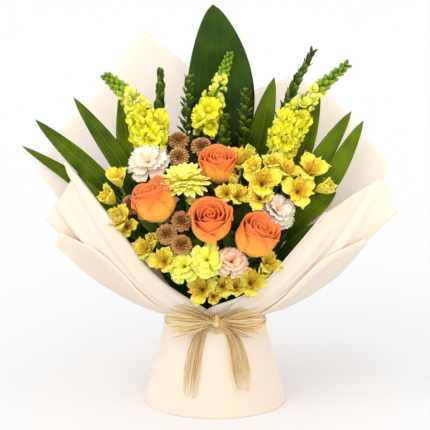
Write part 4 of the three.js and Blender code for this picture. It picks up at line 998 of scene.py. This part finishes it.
# a floret's lobes: [direction, length, width, lean, curl]
LOBES = ((0.5, 17, 15, 22, 72), (-0.5, 17, 15, 22, 72), (pi, 14, 13, 34, 96), (pi - 1, 14, 12, 32, 90),
         (pi + 1, 14, 12, 32, 90))
BUDS = 34
FLORETS_TO, HALF_OPEN_FROM, BUDS_FROM = 0.78, 0.34, 0.68  # shares of a spike's length


def floret(bm, whole, size, draw, kind, gape):
    """A tube with two frilled upper lobes and three lower ones, thrown back by gape."""
    for turn, length, wide, lean, curl in LOBES:
        petal(bm, whole, turn + draw(-0.15, 0.15), length * size * draw(0.86, 1.1),
              wide * size * (0.55 + 0.45 * gape), lean * (0.4 + 0.6 * gape), (curl + draw(-26, 18)) * gape,
              1.8 * size, 4 * size, 0.5, 0.7, 0.4, 0.12, 2.4 * size * gape, draw(2.0, 3.4), 0.1, 0, 7, 12,
              draw(0.6, 1), kind, draw(0, 6))
    for centre, halves, shade in (((0, 0, 5), (3.3, 4, 6.4), 0.4), ((-2.2, 0, 9.4), (2.8, 4, 2.6), 0.1)):
        ball(bm, whole, Vector(centre) * size, Vector(halves) * size, (shade, 0, 0.9), kind)


for number, (name, (line, count, size)) in enumerate(SPIKES.items()):
    bm = new_mesh()
    draw = random.Random(70 + number).uniform
    points = [Vector(p) for p in line]
    root = leaves_bundle(points[0], FORK_ROOT)
    tube(bm, [root, points[0].lerp(root, 0.5) + Vector((0, 16, 0)), points[0]], 1.8, 8, 6, 0.5, 3)
    tube(bm, points, 1.8, 14, 6, 0.6, 3, 0.5)
    for i in range(count + BUDS):
        share = FLORETS_TO * i / (count - 1) if i < count else BUDS_FROM + 0.315 * (i - count) / (BUDS - 1)
        spot, ahead = along_line(points, share), heading(points, share)
        out = UP.rotation_difference(ahead) @ spoke(1, i * GOLDEN + 0.4, 0)
        if i < count:
            late = max(0.0, share - HALF_OPEN_FROM) / (FLORETS_TO - HALF_OPEN_FROM)
            facing = (out + ahead * (0.25 + 0.75 * late + draw(-0.2, 0.2))).normalized()
            lip = UP.rotation_difference(facing).inverted() @ ahead
            full = size * (0.9 + 0.28 * sin(pi * min(1, share / 0.5)) - 0.4 * late)
            start = aimed(spot + out * 2.5, facing, atan2(lip.y, lip.x) + draw(-0.3, 0.3))
            floret(bm, start, full, draw, 1 if late > 0.3 else 0, 1 - 0.75 * late)
        else:
            left = 1 - (i - count) / (BUDS - 1)
            long = (3.4 + 2.4 * left) * size
            facing = (out + ahead * (0.7 + 0.4 * (1 - left))).normalized()
            bud = aimed(spot + facing * (long * 0.9 + 1.5), facing)
            corners = ball(bm, bud, (0, 0, 0), (long * 0.58, long * 0.58, long), (0.1, 0, draw(0.6, 1)),
                           1 if left > 0.8 else 2)
            layer = bm.verts.layers.float_vector["petal"]
            for corner in corners:
                up = (corner.co - at(*spot)).length * 1000 / (long * 2 + 0.8)
                corner[layer] = (min(0.9, up) * (0.4 + 0.6 * left), 0, corner[layer].z)
    piece(bm, name + "_spike", [snap_petal, snap_pale, snap_bud, stalk_green], [name])

# ---------------- twigs of myrtle
# Five woody twigs stand between the flowers, with their feet in the bundle. Small dark pointed leaves grow on them
# two and two, each pair turned from the last, and crowd to the tip.
# [line, length of its leaves, share where they begin, splay, curl, breadth as a share of length, pairs]
TWIGS = {
    "twig_left": ([(-6, 16, 125), (-46, 26, 230), (-66, 22, 330), (-65, 22, 393)], 22, 0.5, 36, -44, 0.58, 15),
    "twig_middle": ([(-3, 12, 125), (-26, 16, 240), (-33, 8, 320), (-32, 16, 391)], 18, 0.5, 46, -20, 0.5, 26),
    "twig_centre": ([(4, 8, 125), (6, 6, 220), (9, -8, 290), (10, -4, 346)], 18, 0.55, 40, -14, 0.5, 28),
    "twig_back": ([(4, 16, 125), (22, 22, 240), (34, 0, 320), (36, 2, 375)], 17, 0.5, 42, -14, 0.5, 28),
    "twig_right": ([(10, 14, 125), (50, 24, 250), (82, 18, 352), (115, 22, 420)], 17, 0.6, 30, -14, 0.5, 28),
}
small_leaf = leaf_finish("small_leaf_green", (64, 88, 16), (142, 162, 58), (132, 154, 60), veins=6, roughness=0.5,
                         sheen=0.14)
twig_wood = green("twig_wood", (66, 58, 26), (112, 100, 48), 0.6)

for number, (name, (line, length, first, splay, curl, breadth, pairs)) in enumerate(TWIGS.items()):
    bm = new_mesh()
    draw = random.Random(100 + number).uniform
    points = [Vector(p) for p in line]
    tube(bm, points, 1.3, 24, 6, 0.4, 1, 0.5)
    for i in range(pairs):
        share = first + (0.985 - first) * i / (pairs - 1)
        small = 1 - 0.4 * (i / (pairs - 1)) ** 2
        for half_turn in (0, pi):
            turn = i * GOLDEN + half_turn + draw(-0.3, 0.3)
            petal(bm, aimed(along_line(points, share), heading(points, share)), turn, length * small * draw(0.8, 1.15),
                  length * breadth * small, splay + draw(-12, 12), curl, 0.8, 0, 0.15, 0.45, 0.02, 0.3, along=6,
                  across=4, tone=draw(0, 1))
    piece(bm, name + "_leaves", [small_leaf, twig_wood], [name])

# ---------------- binding twine
# Three turns of jute twine hold the stems and the gathered ends of the sheets together. They lie inside the
# skirt, which covers them.
twine_fibre = green("jute_twine", (120, 94, 52), (190, 158, 104), 0.85)
TURNS, TWINE, BOUND_RADIUS, BOUND_HEIGHT = 3, 1.9, 38, 62.2

bm = new_mesh()
coil = [ring(BOUND_RADIUS, BOUND_HEIGHT + TWINE * k / 24, 2 * pi * k / 24) for k in range(TURNS * 24 + 1)]
tube(bm, coil, TWINE / 2, TURNS * 48, 7, 0.6)
piece(bm, "binding_twine_coil", [twine_fibre], ["binding_twine"])

# ---------------- raffia band and bow
# Many flat strands of natural raffia, some of them browner, are passed round the waist, over the skirt's top, and
# tied in front. Their loops fan out to both sides of the knot and the loose ends hang in two tails.
raffia = petal_finish("natural_raffia", (255, 214, 142), (255, 227, 166), (255, 236, 190), veins=5, depth=0.12,
                      roughness=0.6, glow=0.4)
brown_raffia = petal_finish("brown_raffia", (150, 96, 44), (206, 148, 84), (236, 186, 120), veins=5, roughness=0.6,
                            glow=0.2)
TAPER = (FOOT_RADIUS - WAIST_RADIUS) / WAIST_HEIGHT
KNOT = Vector((1, -65, 113))
BROWN = 0.2  # share of the strands that are browner


def strand(bm, points, width, twist, draw, steps=16):
    """A flat strand along a line through points, which turns over slowly as it goes."""
    facing = draw(-0.3, 0.3)

    def surface(u, v):
        spot, ahead = along_line(points, u), heading(points, u)
        out = Vector((spot.x * 0.2, -1, 0.3))
        side = Quaternion(ahead, facing + twist * u) @ ahead.cross(out).normalized()
        return at(*(spot + side * (width / 2 * v * (1 - 0.5 * u**8))))

    blade(bm, surface, steps, 1, draw(0.5, 1), 1 if draw(0, 1) < BROWN else 0)


bm = new_mesh()
draw = random.Random(120).uniform
BAND_PASSES, LOOP_STRANDS, TAIL_STRANDS, KNOT_PASSES = 12, 100, 46, 16
for i in range(BAND_PASSES):
    height = 96.5 + 7 * (i + 0.5) / BAND_PASSES
    base = FOOT_RADIUS - TAPER * height + 1.0 + draw(0.2, 1.2)
    sway = draw(0, 6)
    loop = [ring(base + 0.3 * sin(5 * k / 4 + sway), height + 0.8 * sin(k / 3.6 + sway), 2 * pi * k / 32)
            for k in range(33)]
    strand(bm, loop, 1.4, 0, draw, 64)
piece(bm, "raffia_band_strands", [raffia, brown_raffia], ["raffia_band"], 0.25)

bm = new_mesh()
for side in (-1, 1):
    for i in range(LOOP_STRANDS):
        share = (i + draw(0, 1)) / LOOP_STRANDS
        reach = (52 + 9 * sin(pi * share)) * (1 if side < 0 else 0.93) * (1.03 - 0.42 * draw(0, 1) ** 1.8)
        rise = 25 - 46 * share + draw(-4, 4)
        tip = KNOT + Vector((side * reach, draw(-6, 8) + 2 * share, rise))
        middle = KNOT.lerp(tip, 0.5) + Vector((0, -3 - draw(0, 4), 3 - 4 * share + draw(-2, 2)))
        start = KNOT + Vector((side * 1.5, draw(-3, 1), draw(-3.5, 3.5)))
        strand(bm, [start, middle, tip], draw(0.5, 0.85), draw(-0.9, 0.9), draw, 12)
for side, away, spread, lowest in ((-1, -30, 19, 20), (1, 34, 25, 26)):
    for i in range(TAIL_STRANDS):
        share = draw(-0.5, 0.5)
        foot = lowest + 10 * abs(share) + 30 * draw(0, 1) ** 1.6
        line = [KNOT + Vector((side * 1.5, draw(-2, 1), -2))]
        for height, across, open_out in ((101, 0.44, 0.5), (84, 0.72, 0.8), (52, 0.92, 1.0), (foot, 1.0, 0.8)):
            x = away * across + spread * share * open_out + draw(-1.2, 1.2)
            radius = FOOT_RADIUS - TAPER * height + 1.4 + draw(0, 2.4)
            line.append(Vector((x, -sqrt(radius**2 - x * x), height)))
        strand(bm, line, draw(0.5, 0.9), draw(-0.9, 0.9), draw, 18)
for i in range(KNOT_PASSES):
    x = KNOT.x - 4.5 + 9 * i / (KNOT_PASSES - 1)
    size = 7.2 - 0.06 * (i - (KNOT_PASSES - 1) / 2) ** 2
    loop = [Vector((x + 0.5 * sin(k), KNOT.y + 1 - size * 0.9 * cos(pi * k / 6), KNOT.z + size * sin(pi * k / 6)))
            for k in range(13)]
    strand(bm, loop, 1.1, 0.2, draw, 26)
piece(bm, "raffia_bow_strands", [raffia, brown_raffia], ["raffia_bow"], 0.25)
